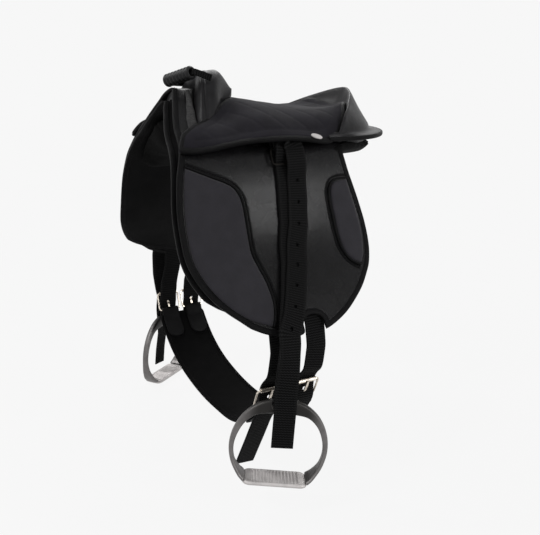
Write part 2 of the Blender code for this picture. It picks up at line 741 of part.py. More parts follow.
def panel_section(x):
    """Closed section of the far panel at x, as (y, z)."""
    rear = smoothstep(x, 40, 112)
    reach = 91.0
    if x > CANTLE_CENTRE_X:
        outer = math.sqrt(max(reach ** 2 - (x - CANTLE_CENTRE_X) ** 2, 30.0 ** 2))
    else:
        outer = 90.0
    ends = min(smoothstep(x, -101, -84), 1 - smoothstep(x, 150, 183))
    thick = PANEL_THICK * (0.35 + 0.65 * ends)
    top, bottom = [], []
    for w in np.linspace(0, 1, 7):
        s = 36 + w * 108
        crown = 0.22 + 0.78 * min(1.0, 4.2 * w * (1 - w))
        lift = sweat_flap_offset(s) - SWEAT_FLAP_THICK - GAP
        y, z, ny, nz = side_section(s)
        frontTop = (y + ny * lift, z + nz * lift)
        frontLow = (y + ny * (lift - thick * crown), z + nz * (lift - thick * crown))
        flatY = 23 + w * (outer - 23)
        flatTop = TREE_REAR_Z - TREE_THICK - 3 * GAP
        if flatY > 80:
            flatTop = TREE_REAR_Z - GAP
        rearTop = (flatY, flatTop)
        rearLow = (flatY + (1.5 - 3.0 * w), TREE_REAR_Z - TREE_THICK - 3 * GAP - thick * 0.75 * crown)
        top.append([(1 - rear) * p + rear * q for p, q in zip(frontTop, rearTop)])
        bottom.append([(1 - rear) * p + rear * q for p, q in zip(frontLow, rearLow)])
    return top + bottom[::-1]


def build_panel(name, side, tree, sweatFlap, flap):
    stations = [-101, -92, -78, -40, 40, 62, 80, 98, 116, 134, 150, 164, 176]
    rings = [[(x, side * y, z) for y, z in panel_section(x)] for x in stations]
    panel = add_object(name, loft(rings), FELT)
    for neighbour in (tree, sweatFlap, flap):
        seat_against(panel, neighbour)
    return panel


# Stirrup bar: a staple on a plate that is riveted to the tree

BAR_S = 93.0
BAR_FRONT, BAR_REAR = 1.0, 39.0


def bar_centre():
    y, z, ny, nz = side_section(BAR_S)
    return np.array([y + ny * BAR_STAND_OFF, z + nz * BAR_STAND_OFF])


def build_bar(name, side):
    margin = 5.0
    outline = [(BAR_FRONT - margin, 89.5), (BAR_REAR + margin, 89.5), (BAR_REAR + margin, 98.0),
               (BAR_FRONT - margin, 98.0)]
    plate = sheet(outline, GAP, GAP + 2.4, side_point(side), xStep=60.0, yLines=[93.7])
    bar = add_object(name, plate, STEEL)
    place = side_point(side)
    corner = 3.0
    top = BAR_STAND_OFF
    path = [(BAR_FRONT, 1.2), (BAR_FRONT, top - corner), (BAR_FRONT + 0.9, top - 0.9), (BAR_FRONT + corner, top),
            (BAR_REAR - corner, top), (BAR_REAR - 0.9, top - 0.9), (BAR_REAR, top - corner), (BAR_REAR, 1.2)]
    rod = wire(name + "_rod", [place(x, BAR_S, h) for x, h in path], BAR_DIA / 2, STEEL)
    join_pieces(bar, rod)
    return bar


# Stirrup strap: its plies lie at set distances from one middle line from the bar to the iron

class HangingLine:
    """Middle line of a stirrup strap, with its width and outward directions."""

    def __init__(self, side, stations, lifts, turn, eyeZ):
        self.side = side
        self.eyeZ = eyeZ
        rodY, rodZ = bar_centre()
        line = [(rodY, rodZ)]
        touch = side_section(118)
        line.append((touch[0] + touch[2] * 6.2, touch[1] + touch[3] * 6.2))
        first = np.array(line[1]) - np.array(line[0])
        line.insert(1, tuple(np.array(line[0]) + first * 0.5))
        line.insert(0, tuple(np.array(line[0]) - first * 0.7))
        for s, offset in lifts:
            y, z, ny, nz = side_section(s)
            line.append((y + ny * offset, z + nz * offset))
        y, z, ny, nz = side_section(321)
        line.append((y + ny * 10.2, z + nz * 10.2))
        line += [(HANG_WIDTH - 1.8, -132), (HANG_WIDTH - 0.4, -146), (HANG_WIDTH, -165), (HANG_WIDTH, -215),
                 (HANG_WIDTH, -260), (HANG_WIDTH, -345)]
        path = smooth_line(line, 8)
        self.length = np.r_[0, np.cumsum(np.hypot(*np.diff(path, axis=0).T))]
        self.y, self.z = path[:, 0], path[:, 1]
        rod = np.argmin(np.hypot(self.y - rodY, self.z - rodZ))
        self.length -= self.length[rod]
        self.stations = stations
        self.turn = turn

    def spot(self, t):
        y = np.interp(t, self.length, self.y)
        z = np.interp(t, self.length, self.z)
        keys = [row[0] for row in self.stations][::-1]
        x = np.interp(z, keys, [row[1] for row in self.stations][::-1])
        return np.array([x, self.side * y, z])

    def at_height(self, z):
        return float(np.interp(-z, -self.z, self.length))

    def frame(self, t):
        tangent = self.spot(t + 4) - self.spot(t - 4)
        tangent /= np.linalg.norm(tangent)
        z = self.spot(t)[2]
        turn = math.radians(self.turn * (1 - smoothstep(z, self.eyeZ + 9, self.eyeZ + 62)))
        width = np.array([math.cos(turn), self.side * math.sin(turn), 0.0])
        width -= tangent * width.dot(tangent)
        width /= np.linalg.norm(width)
        outward = np.cross(tangent, width)
        if outward[1] * self.side < 0:
            outward = -outward
        return tangent, width, outward

    def place(self, t, across, outward):
        tangent, width, normal = self.frame(t)
        return self.spot(t) + width * across + normal * outward


PLY_STEP = WEB_THICK + 0.8
LOOP_OUT = BAR_DIA / 2 + GAP + WEB_THICK / 2
HEEL_T, FRONT_T = 18.0, 36.0
HEEL_OUT = BUCKLE_OUT = 3.75
TAIL_CLEAR = 12.0


def strap_route(line, tailEnd):
    """Route of the webbing as (t, outward, share of the tail's sideways shift)."""
    half = PLY_STEP / 2
    eye = line.at_height(line.eyeZ)
    loop = EYE_BAR_DIA / 2 + GAP + WEB_THICK / 2
    wrap = STRAP_BUCKLE_WIRE / 2 + GAP + WEB_THICK / 2
    route = []
    for a in (-60, -20, 20, 60, 100, 140):
        c, s = math.cos(math.radians(a)), math.sin(math.radians(a))
        route.append((HEEL_T + wrap * c, HEEL_OUT + wrap * s, 0))
    route += [(HEEL_T - 6.5, 5.6, 0), (4.0, 4.6, 0)]
    for a in (90, 130, 180, 230, 270):
        c, s = math.cos(math.radians(a)), math.sin(math.radians(a))
        route.append((LOOP_OUT * c, LOOP_OUT * s, 0))
    shared = list(np.linspace(66, eye - 26, 8))
    route += [(10, -3.0, 0), (20, -1.9, 0), (30, -half, 0), (44, -half, 0), (54, -half, 0)]
    route += [(t, -half, 0) for t in shared]
    route += [(eye - 15, -half - 0.4, 0), (eye - 7, -loop + 0.5, 0)]
    for a in (-90, -55, -20, 20, 55, 90):
        c, s = math.cos(math.radians(a)), math.sin(math.radians(a))
        route.append((eye + loop * c, loop * s, 0))
    route += [(eye - 7, loop - 0.5, 0), (eye - 15, half + 0.4, 0)]
    route += [(t, half, 0) for t in shared[::-1]]
    over = HEEL_OUT + wrap + WEB_THICK / 2 + GAP + WEB_THICK / 2 + 0.1
    fold = 1.15
    route += [(54, half, 0), (44, half + 0.1, 0), (FRONT_T, BUCKLE_OUT - STRAP_BUCKLE_WIRE / 2 - GAP - WEB_THICK / 2 - 0.1, 0),
              (FRONT_T - 5, 3.4, 0), (FRONT_T - 10, 5.8, 0.0), (HEEL_T + 3, over - 0.1, 0.05), (HEEL_T - 2, over + 0.1, 0.15)]
    for a in (-90, -135, 180, 135, 90):
        c, s = math.cos(math.radians(a)), math.sin(math.radians(a))
        route.append((HEEL_T - 4 + fold * c, over + 0.1 + fold + fold * s, 0.5 + 0.3 * (a > 0)))
    tailOut = over + 0.1 + 2 * fold
    route += [(HEEL_T + 2, tailOut, 1), (FRONT_T - 8, tailOut, 1), (FRONT_T, tailOut - 0.2, 1),
              (44, tailOut - 2.5, 1), (54, half + PLY_STEP + 0.5, 1)]
    for t in shared + [eye - 8, eye + 8, eye + 30]:
        route.append((t, half + PLY_STEP + (TAIL_CLEAR - half - PLY_STEP) * smoothstep(t, eye - 70, eye - 4), 1))
    route.append((line.at_height(tailEnd), TAIL_CLEAR + 1.0, 1))
    return route


def ribbon(points, normals, widths, wide, thick):
    """Flat band along a line of points, of one width or a width at each point."""
    if not isinstance(wide, list):
        wide = [wide] * len(points)
    rings = []
    for p, n, w, wide in zip(points, normals, widths, wide):
        rings.append([p - w * wide / 2 - n * thick / 2, p + w * wide / 2 - n * thick / 2,
                      p + w * wide / 2 + n * thick / 2, p - w * wide / 2 + n * thick / 2])
    return loft(rings)


def route_normals(flat):
    """Unit normals of a flat route, averaged between its runs."""
    steps = np.diff(flat, axis=0)
    steps /= np.linalg.norm(steps, axis=1)[:, None]
    ahead = np.vstack([steps, steps[-1]])
    behind = np.vstack([steps[0], steps])
    mean = ahead + behind
    mean /= np.linalg.norm(mean, axis=1)[:, None]
    return np.stack([-mean[:, 1], mean[:, 0]], 1)


def build_strap(name, line, tailShift, tailEnd):
    route = strap_route(line, tailEnd)
    flat = np.array([(t, n) for t, n, _ in route], float)
    normals = route_normals(flat)
    points, directions, widths = [], [], []
    for (t, n, share), (nt, nn) in zip(route, normals):
        tangent, width, outward = line.frame(t)
        sideways = share * tailShift(line.spot(t)[2])
        points.append(line.place(t, sideways, n))
        directions.append(tangent * nt + outward * nn)
        widths.append(width)
    strap = add_object(name, ribbon(points, directions, widths, WEB_WIDE, WEB_THICK), WEBBING)
    cut_strap_holes(strap, line, tailShift)
    return strap


def prism(centre, axis, along, section, deep):
    """Rings of a prism about a point; section is in (along, across) and deep along the axis."""
    axis = np.array(axis) / np.linalg.norm(axis)
    along = np.array(along, float)
    along -= axis * along.dot(axis)
    along /= np.linalg.norm(along)
    other = np.cross(axis, along)
    return [[np.array(centre) + axis * end + along * u + other * v for u, v in section]
            for end in (-deep / 2, deep / 2)]


def box_section(long, wide):
    return [(-long / 2, -wide / 2), (long / 2, -wide / 2), (long / 2, wide / 2), (-long / 2, wide / 2)]


def hole_section(size):
    return [(size / 2 * math.cos(a), size / 2 * math.sin(a)) for a in np.radians(range(20, 380, 60))]


def cut_prisms(target, prisms):
    """Cut several separate prisms in one go."""
    bm = bmesh.new()
    for rings in prisms:
        rows = [[bm.verts.new(tuple(p)) for p in ring] for ring in rings]
        count = len(rows[0])
        for i in range(count):
            j = (i + 1) % count
            bm.faces.new((rows[0][i], rows[0][j], rows[1][j], rows[1][i]))
        bm.faces.new(rows[0][::-1])
        bm.faces.new(rows[1])
    cut_with(target, add_object(target.name + "_slots", bm, collection=cutterCollection))


def cut_strap_holes(strap, line, tailShift):
    """Row of buckle holes in the tail, the tongue's hole and the slot at the chape."""
    lift = 1.5 * PLY_STEP
    prisms = []
    for t in np.arange(FRONT_T + 20.0, line.at_height(line.eyeZ + 70), HOLE_PITCH):
        tangent, width, outward = line.frame(t)
        centre = line.place(t, tailShift(line.spot(t)[2]) + 0.15, lift)
        prisms.append(prism(centre, outward, tangent, hole_section(HOLE_DIA), 2.7))
    tangent, width, outward = line.frame(HEEL_T + 7)
    room = TONGUE_WIDE + 1.8
    prisms.append(prism(line.place(HEEL_T + 6.0, 0, 5.7), outward, tangent, box_section(17.0, room), 7.4))
    cut_prisms(strap, prisms)
    slot = prism(line.place(HEEL_T - 1.0, 0, HEEL_OUT - 0.4), outward, tangent, box_section(7.0, room + 0.4), 6.6)
    cut_prisms(strap, [slot])


def frame_points(wide, long, corner, place):
    """Rounded rectangle of a buckle frame, as placed points."""
    points = []
    for cx, cy, start in ((1, 1, 0), (-1, 1, 90), (-1, -1, 180), (1, -1, 270)):
        for a in (0, 45, 90):
            r = math.radians(start + a)
            points.append((cx * (wide / 2 - corner) + corner * math.cos(r),
                           cy * (long / 2 - corner) + corner * math.sin(r)))
    return [place(x, y) for x, y in points]


def build_strap_buckle(name, line):
    wide = WEB_WIDE + 2 * BUCKLE_SIDE_ROOM + STRAP_BUCKLE_WIRE + 3.0
    middle = (HEEL_T + FRONT_T) / 2
    points = frame_points(wide, FRONT_T - HEEL_T, 3.2, lambda x, y: line.place(middle + y, x, BUCKLE_OUT))
    return wire(name, points, STRAP_BUCKLE_WIRE / 2, STEEL, cyclic=True, sides=1)


def build_tongue(name, heel, tip, axis, outward, wireDia, tipOver, material=STEEL):
    """Buckle tongue: an eye round the heel bar and a flat arm that ends over the front bar."""
    heel, tip, axis, outward = (np.array(v, float) for v in (heel, tip, axis, outward))
    axis /= np.linalg.norm(axis)
    reach = np.linalg.norm(tip - heel)
    along = (tip - heel) / reach
    up = outward - along * outward.dot(along)
    up /= np.linalg.norm(up)
    inner = wireDia / 2 + 0.25
    outer = inner + TONGUE_THICK
    lift = (inner + outer) / 2
    rings = []
    for end in (-TONGUE_WIDE / 2, TONGUE_WIDE / 2):
        rings.append([heel + axis * end + outer * (along * math.cos(a) + up * math.sin(a))
                      for a in np.linspace(0, 2 * math.pi, 12, endpoint=False)])
    eye = add_object(name, loft(rings), material, origin=tuple(heel))
    armEnd = wireDia / 2 + tipOver
    middle = 0.5 * (lift + armEnd)
    stations = [(0, lift), (reach * 0.45, middle), (reach * 0.8, armEnd * 0.97 + 0.1), (reach + 2.6, armEnd)]
    arm = []
    for d, h in stations:
        narrow = TONGUE_WIDE / 2 * (0.96 if d < reach else 0.72)
        thick = TONGUE_THICK / 2
        base = heel + along * d + up * (h if d > 0 else lift)
        arm.append([base - axis * narrow - up * thick, base + axis * narrow - up * thick,
                    base + axis * narrow + up * thick, base - axis * narrow + up * thick])
    join_pieces(eye, add_object(name + "_arm", loft(arm), material))
    bore = []
    for end in (-TONGUE_WIDE, TONGUE_WIDE):
        bore.append([heel + axis * end + inner * (along * math.cos(a) + up * math.sin(a))
                     for a in np.linspace(0, 2 * math.pi, 12, endpoint=False)])
    cut_with(eye, add_object(name + "_bore", loft(bore), collection=cutterCollection))
    return eye


# Stirrup iron: outer and inner line of one half, from the middle of the top to the tread

IRON_OUTER = [(0, 1.0), (0.26, 0.985), (0.52, 0.925), (0.77, 0.80), (0.94, 0.625), (1.0, 0.43), (0.95, 0.25),
              (0.82, 0.11), (0.70, 0.035)]
IRON_INNER = [(0, 0.835), (0.26, 0.828), (0.52, 0.80), (0.72, 0.705), (0.845, 0.57), (0.90, 0.42), (0.86, 0.25),
              (0.74, 0.13), (0.64, 0.075)]


def build_iron(name, eye, side, turn, lean):
    """One casting: an arch that thickens to the crown, and a ribbed tread."""
    a = math.radians(turn)
    across = np.array([math.cos(a), side * math.sin(a), 0.0])
    slope = math.radians(lean)
    down = np.array([0.0, 0.0, -1.0])
    axisA = across * math.cos(slope) + down * math.sin(slope)
    axisDown = down * math.cos(slope) - across * math.sin(slope)
    normal = np.cross(axisA, axisDown)
    if normal[1] * side < 0:
        normal = -normal
    top = np.array(eye) - axisDown * (EYE_BAR_DIA / 2 + 0.4)

    def place(u, down, out):
        return top + axisA * u + axisDown * down + normal * out
    foot = TREAD_LONG / 2 + FOOT_OUT - IRON_OUTER[-1][0] * IRON_WIDE / 2

    def arch_line(points):
        return [(u * IRON_WIDE / 2 + foot * smoothstep(1 - v, 0.6, 1.0), (1 - v) * IRON_HIGH)
                for u, v in smooth_line(points, 2)]
    outer = arch_line(IRON_OUTER)
    inner = arch_line(IRON_INNER)
    rings = []
    for p, q, f in zip(outer, inner, np.linspace(0, 1, len(outer))):
        deep = IRON_DEEP * (1 - 0.15 * smoothstep(f, 0.1, 0.4)) + 16 * smoothstep(f, 0.62, 1.0)
        rings.append((p, q, deep / 2))
    rings = [((-p[0], p[1]), (-q[0], q[1]), d) for p, q, d in rings[:0:-1]] + rings
    arch = []
    for p, q, d in rings:
        p, q = np.array(p), np.array(q)
        edge = 0.22
        arch.append([place(*(p + (q - p) * edge), -d), place(*p, -d * 0.5), place(*p, d * 0.5),
                     place(*(p + (q - p) * edge), d), place(*(q + (p - q) * edge), d), place(*q, d * 0.5),
                     place(*q, -d * 0.5), place(*(q + (p - q) * edge), -d)])
    iron = add_object(name, loft(arch), ALUMINIUM, origin=tuple(eye))
    floor = IRON_HIGH
    ribs = TREAD_RIBS * TREAD_RIB_PITCH / 2
    profile = [(-TREAD_LONG / 2, floor - TREAD_THICK), (-TREAD_LONG / 2 + 3, floor), (TREAD_LONG / 2 - 3, floor),
               (TREAD_LONG / 2, floor - TREAD_THICK)]
    for i in range(TREAD_RIBS):
        u = ribs - i * TREAD_RIB_PITCH
        profile += [(u, floor - TREAD_THICK), (u - 0.9, floor - TREAD_THICK - 1.3),
                    (u - TREAD_RIB_PITCH + 0.9, floor - TREAD_THICK - 1.3)]
    profile.append((-ribs, floor - TREAD_THICK))
    slabs = []
    for out, trim in ((-TREAD_DEEP / 2, 3.0), (-TREAD_DEEP / 2 + 3, 0), (TREAD_DEEP / 2 - 3, 0), (TREAD_DEEP / 2, 3.0)):
        slabs.append([place(u * (1 - trim / TREAD_LONG * 2), v + (0.8 if v < floor and trim else 0), out)
                      for u, v in profile])
    join_pieces(iron, add_object(name + "_tread", loft(slabs), ALUMINIUM))
    slotHalf = WEB_WIDE / 2 + 1.5
    slotEnd = EYE_BAR_DIA + 0.4 + IRON_SLOT
    gap = []
    for out in (-IRON_DEEP, IRON_DEEP):
        gap.append([place(-slotHalf, -4.0, out), place(slotHalf, -4.0, out), place(slotHalf, slotEnd, out),
                    place(-slotHalf, slotEnd, out)])
    cut_with(iron, add_object(name + "_slot", loft(gap), collection=cutterCollection))
    bar = []
    for u in (-slotHalf - 2.5, slotHalf + 2.5):
        bar.append([place(u, EYE_BAR_DIA / 2 * (1 - math.cos(b)) + 0.4, EYE_BAR_DIA / 2 * math.sin(b))
                    for b in np.linspace(0, 2 * math.pi, 12, endpoint=False)])
    join_pieces(iron, add_object(name + "_bar", loft(bar), ALUMINIUM))
    return iron


# Girth, billets and girth buckles

BUCKLE_Y, BUCKLE_Z = 175.0, -205.0
BUCKLE_TILT = 24.0
GIRTH_PATH = [(160.5, -233.5), (138.5, -251), (112, -265), (80, -275), (40, -281), (0, -283)]


def girth_direction():
    """Direction down the girth's end and outward from it, in the section, far side."""
    a = math.radians(BUCKLE_TILT)
    return np.array([-math.sin(a), -math.cos(a)]), np.array([math.cos(a), -math.sin(a)])


def girth_line():
    down, _ = girth_direction()
    start = np.array([BUCKLE_Y, BUCKLE_Z]) + down * (GIRTH_BUCKLE_LONG / 2 + 5.0)
    half = [tuple(start), tuple(start + down * 8)] + [tuple(p) for p in GIRTH_PATH]
    line = half + [(-y, z) for y, z in half[-2::-1]]
    path = smooth_line(line, 4)
    length = np.r_[0, np.cumsum(np.hypot(*np.diff(path, axis=0).T))]
    return path, length


def girth_place(x, s, offset):
    """Place a pattern point on the girth; s runs from the far end to the near end, offset outward."""
    path, length = girth_line_data
    y = np.interp(s, length, path[:, 0])
    z = np.interp(s, length, path[:, 1])
    step = [np.interp(s + 2, length, path[:, k]) - np.interp(s - 2, length, path[:, k]) for k in (0, 1)]
    size = math.hypot(*step)
    return x, y - step[1] / size * offset, z + step[0] / size * offset


girth_line_data = girth_line()


def buckle_x(side, rear):
    """Where a billet crosses its buckle."""
    pitch = NEAR_PITCH if side < 0 else FAR_PITCH
    return GIRTH_X + (NEAR_SHIFT if side < 0 else 0.0) + (pitch / 2 if rear else -pitch / 2)


def tab_lines():
    """Bend lines that the girth and its tabs share, as distances from the girth's end."""
    return [6.0, 16.0, 26.0, TAB_LONG - 13.0, TAB_LONG - 5.0]


def build_girth():
    length = girth_line_data[1][-1]
    half = GIRTH_WIDE / 2
    corner = 6.0
    front, rear = [], []
    for s in [corner] + list(np.linspace(60, length - 60, 8)) + [length - 30, length - corner]:
        spread = smoothstep(s, length - 150, length - 30)
        middle = GIRTH_X + NEAR_SHIFT * spread
        wide = half + (NEAR_PITCH - FAR_PITCH) / 2 * spread
        front.append((middle - wide, s))
        rear.append((middle + wide, s))
    outline = [(front[0][0] + corner, 0), (rear[0][0] - corner, 0)] + rear
    outline += [(rear[-1][0] - corner, length), (front[-1][0] + corner, length)] + front[::-1]
    near = tab_lines()
    count = 18
    middle = [TAB_LONG + (length - 2 * TAB_LONG) * i / count for i in range(1, count)]
    lines = near + middle + [length - v for v in near]
    bm = sheet(outline, -GIRTH_THICK / 2, GIRTH_THICK / 2, girth_place, yLines=lines)
    return add_object("girth_band", bm, WEBBING)


def buckle_frame_place(side, x):
    """Local axes of a girth buckle: across X, up along the billet, outward."""
    down, out = girth_direction()
    centre = np.array([x, side * BUCKLE_Y, BUCKLE_Z])
    up = np.array([0, -side * down[0], -down[1]])
    outward = np.array([0, side * out[0], out[1]])

    def place(across, along, away):
        return centre + np.array([across, 0, 0]) + up * along + outward * away
    return place, up, outward


def build_girth_buckle(prefix, side, x):
    """Frame, roller and tongue."""
    place, up, outward = buckle_frame_place(side, x)
    half = GIRTH_BUCKLE_LONG / 2
    wide = WEB_WIDE + 2 * BUCKLE_SIDE_ROOM + GIRTH_BUCKLE_WIRE
    wide += 1.6
    radius = GIRTH_BUCKLE_WIRE / 2
    frame = wire(prefix + "_buckle", frame_points(wide, 2 * half, 3.0, lambda u, v: place(u, v, 0)), radius, STEEL,
                 cyclic=True)
    inner = radius + 0.25
    outer = inner + ROLLER_WALL
    rollerLong = wide - 7.6
    tube = []
    for end in (-rollerLong / 2, rollerLong / 2):
        tube.append([place(end, half + outer * math.cos(a), outer * math.sin(a))
                     for a in np.linspace(0, 2 * math.pi, 12, endpoint=False)])
    roller = add_object(prefix + "_roller", loft(tube), STEEL, origin=tuple(place(0, half, 0)))
    bore = []
    for end in (-rollerLong, rollerLong):
        bore.append([place(end, half + inner * math.cos(a), inner * math.sin(a))
                     for a in np.linspace(0, 2 * math.pi, 12, endpoint=False)])
    cut_with(roller, add_object(prefix + "_roller_bore", loft(bore), collection=cutterCollection))
    tongue = build_tongue(prefix + "_tongue", place(0, -half, 0), place(0, half, 0), (1, 0, 0), outward,
                          GIRTH_BUCKLE_WIRE, 0.25 + ROLLER_WALL + GAP + TONGUE_THICK / 2)
    return frame, roller, tongue


def billet_route(side, rear):
    """Billet from the tree down between the flaps, behind the roller, out over the heel bar."""
    half = GIRTH_BUCKLE_LONG / 2
    roller = GIRTH_BUCKLE_WIRE / 2 + 0.25 + ROLLER_WALL
    under = -(roller + GAP + BILLET_THICK / 2 + 0.2)
    over = GIRTH_THICK / 2 + TAB_THICK + 3 * GAP + BILLET_THICK / 2 + 0.6
    lay = -FLAP_ROOM / 2
    points = []
    for s in (112, 122, 135, 150, 170, 200, 230, 255, 280, 300, 316):
        lift = lay
        if s < 152:
            lift = min(lay, sweat_flap_offset(s) + 1.2 + BILLET_THICK / 2)
        y, z, ny, nz = side_section(s)
        points.append((y + ny * lift, z + nz * lift))
    down, out = girth_direction()
    centre = np.array([BUCKLE_Y, BUCKLE_Z])
    tail = 97.0 if (side < 0 and not rear) else 16.0
    for along, away in ((half + 22, under - 1.2), (half + 8, under), (half, under), (half - 7, under + 2.2),
                        (0, 0.6), (-half + 7, over - 1.6), (-half, over), (-half - 6, over + 0.2)):
        points.append(tuple(centre - down * along + out * away))
    for extra in np.linspace(14, tail, max(2, round(tail / 14))):
        fall = smoothstep(extra, 10, 50)
        points.append(tuple(centre + down * (half + extra) + out * (over + 0.2 + 0.02 * extra * fall)))
    return points


def build_billet(name, side, rear):
    x0 = buckle_x(side, rear)
    flat = smooth_line(billet_route(side, rear), 1)
    normals = route_normals(flat)
    points, directions, widths = [], [], []
    topX = GIRTH_X + (14.5 if rear else -14.5)
    for (y, z), (ny, nz) in zip(flat, normals):
        x = lerp_table(z, [(-313, x0 - 14), (-237, x0 - 5), (BUCKLE_Z - 16, x0 - 1), (BUCKLE_Z + 14, x0 + 0.5),
                           (-175, x0 + 6), (-150, x0 + 11), (-70, x0 + 10), (60, topX + 3)])
        points.append(np.array([x, side * y, z]))
        directions.append(np.array([0, side * ny, nz]))
        widths.append(np.array([1.0, 0, 0]))
    billet = add_object(name, ribbon(points, directions, widths, WEB_WIDE, BILLET_THICK), WEBBING)
    place, up, outward = buckle_frame_place(side, x0)
    room = TONGUE_WIDE + 1.8
    cut_prisms(billet, [prism(place(0, -5.0, 2.0), outward, up, box_section(17.0, room), 9.0)])
    return billet


def build_tab(name, side, rear):
    """Sewn tab that holds the buckle: it wraps the heel bar and lies on both faces of the girth's end."""
    x0 = buckle_x(side, rear)
    half = GIRTH_BUCKLE_LONG / 2
    place, up, outward = buckle_frame_place(side, x0)
    wrap = GIRTH_BUCKLE_WIRE / 2 + GAP + TAB_THICK / 2
    lay = GIRTH_THICK / 2 + GAP + TAB_THICK / 2
    start = half + 5.0
    total = girth_line_data[1][-1]

    def spot(along, away):
        if along >= -start:
            return place(0, along, away)
        run = -start - along
        return np.array(girth_place(x0, run if side > 0 else total - run, away))
    runs = [TAB_LONG - 0.6] + tab_lines()[::-1]
    outer = [(-start - run, lay) for run in runs] + [(-half - 3.5, lay)]
    bend = [(-half + wrap * math.sin(a), wrap * math.cos(a)) for a in np.radians((0, 45, 90, 135, 180))]
    back = [(-half - 3.5, -lay), (-start - 6, -lay), (-start - 16, -lay)]
    route = outer + bend + back
    full = WEB_WIDE + 1.0
    wide = [full] * len(route)
    for i, run in enumerate(runs):
        wide[i] = 2 * math.sqrt(max((full / 2) ** 2 - max(full / 2 - (TAB_LONG - run), 0) ** 2, 9.0))
    points = [spot(a, b) for a, b in route]
    flat = np.array([(side * p[1], p[2]) for p in points])
    directions = [np.array([0, side * n[0], n[1]]) for n in route_normals(flat)]
    across = [np.array([1.0, 0, 0])] * len(points)
    tab = add_object(name, ribbon(points, directions, across, wide, TAB_THICK), LEATHER)
    cut_prisms(tab, [prism(place(0, -half + 0.6, 0), outward, up, box_section(9.0, TONGUE_WIDE + 1.8), 12.0)])
    return tab


def rounded_corner(before, corner, after, radius, steps):
    """Points of the arc that rounds a corner of a route, and the direction that it turns about."""
    back = (before - corner) / np.linalg.norm(before - corner)
    ahead = (after - corner) / np.linalg.norm(after - corner)
    half = math.acos(back.dot(ahead)) / 2
    turn = math.pi - 2 * half
    centre = corner + (back + ahead) / np.linalg.norm(back + ahead) * radius / math.sin(half)
    first = corner + back * radius / math.tan(half) - centre
    last = corner + ahead * radius / math.tan(half) - centre
    points = [centre + (first * math.sin(turn * (1 - f)) + last * math.sin(turn * f)) / math.sin(turn)
              for f in np.linspace(0, 1, steps)]
    about = np.cross(back, ahead)
    return points, about / np.linalg.norm(about) * (1 if about[2] > 0 else -1)


def build_handle():
    """Webbing loop from both sides of the pommel through the ribbed grip, with its edge direction at each point."""
    near = np.array([-66.0, -21.0, 148.5])
    far = np.array([-81.0, 17.0, 138.0])
    axis = (near - far) / np.linalg.norm(near - far)
    middle = (near + far) / 2
    nearEnd = np.array([-43.0, -27.0, 142.5])
    farEnd = np.array([-47.0, 33.0, 133.0])
    reach = GRIP_LONG / 2 + HANDLE_OUT
    nearBend, nearEdge = rounded_corner(nearEnd, middle + axis * reach, middle, HANDLE_BEND, 6)
    farBend, farEdge = rounded_corner(middle, middle - axis * (reach + 1), farEnd, HANDLE_BEND, 6)
    route = [(nearEnd, np.array([0.36, -0.04, 0.93])), ((nearEnd + nearBend[0]) / 2, nearEdge)]
    route += [(p, nearEdge) for p in nearBend]
    route += [(middle + axis * d, nearEdge * (0.5 + d / 24) + farEdge * (0.5 - d / 24)) for d in (12, 0, -12)]
    route += [(p, farEdge) for p in farBend]
    for f in np.linspace(0.2, 1, 5):
        route.append((farBend[-1] * (1 - f) + farEnd * f, farEdge * (1 - f) + np.array([0.19, -0.51, 0.84]) * f))
    return route, axis, middle


def build_grip(axis, middle):
    """Ribbed tube round the handle's webbing."""
    up = np.array([0.0, 0.0, 1.0])
    sideways = np.cross(axis, up)
    sideways /= np.linalg.norm(sideways)
    other = np.cross(axis, sideways)
    rings = []
    for i in range(2 * GRIP_RIBS + 1):
        d = GRIP_LONG * (i / (2 * GRIP_RIBS) - 0.5)
        radius = GRIP_DIA / 2 * (1.0 if i % 2 else 0.86)
        rings.append([middle + axis * d + radius * (sideways * math.cos(a) + other * math.sin(a))
                      for a in np.linspace(0, 2 * math.pi, 12, endpoint=False)])
    grip = add_object("handle_grip", loft(rings), RUBBER)
    bore = []
    inner = GRIP_DIA / 2 * 0.86 - GRIP_WALL
    for d in (-GRIP_LONG, GRIP_LONG):
        bore.append([middle + axis * d + inner * (sideways * math.cos(a) + other * math.sin(a))
                     for a in np.linspace(0, 2 * math.pi, 12, endpoint=False)])
    cut_with(grip, add_object("handle_grip_bore", loft(bore), collection=cutterCollection))
    return grip


def build_handle_strap(route):
    line = np.array([p for p, _ in route])
    steps = line[1:] - line[:-1]
    steps /= np.linalg.norm(steps, axis=1)[:, None]
    steps = np.vstack([steps[:1], steps]) + np.vstack([steps, steps[-1:]])
    points, directions, widths = [], [], []
    for p, step, (_, edge) in zip(line, steps, route):
        step = step / np.linalg.norm(step)
        width = edge - step * edge.dot(step)
        width /= np.linalg.norm(width)
        points.append(p)
        widths.append(width)
        directions.append(np.cross(step, width))
    return add_object("handle_strap", ribbon(points, directions, widths, HANDLE_WEB_WIDE, HANDLE_WEB_THICK), WEBBING)


# Assembly

def build_side(prefix, side, tree):
    parts = {}
    parts["flap"] = build_flap(prefix + "_flap", side)
    parts["sweat"] = build_sweat_flap(prefix + "_sweat_flap", side)
    build_knee_patch(prefix + "_knee_patch", side)
    build_rear_patch(prefix + "_rear_patch", side)
    build_piping(prefix + "_knee_piping", side, KNEE_BORDER)
    build_piping(prefix + "_rear_piping", side, REAR_BORDER)
    parts["gusset"] = build_gusset(prefix + "_front_patch", side)
    build_panel(prefix + "_panel", side, tree, parts["sweat"], parts["flap"])
    build_bar(prefix + "_stirrup_bar", side)
    return parts


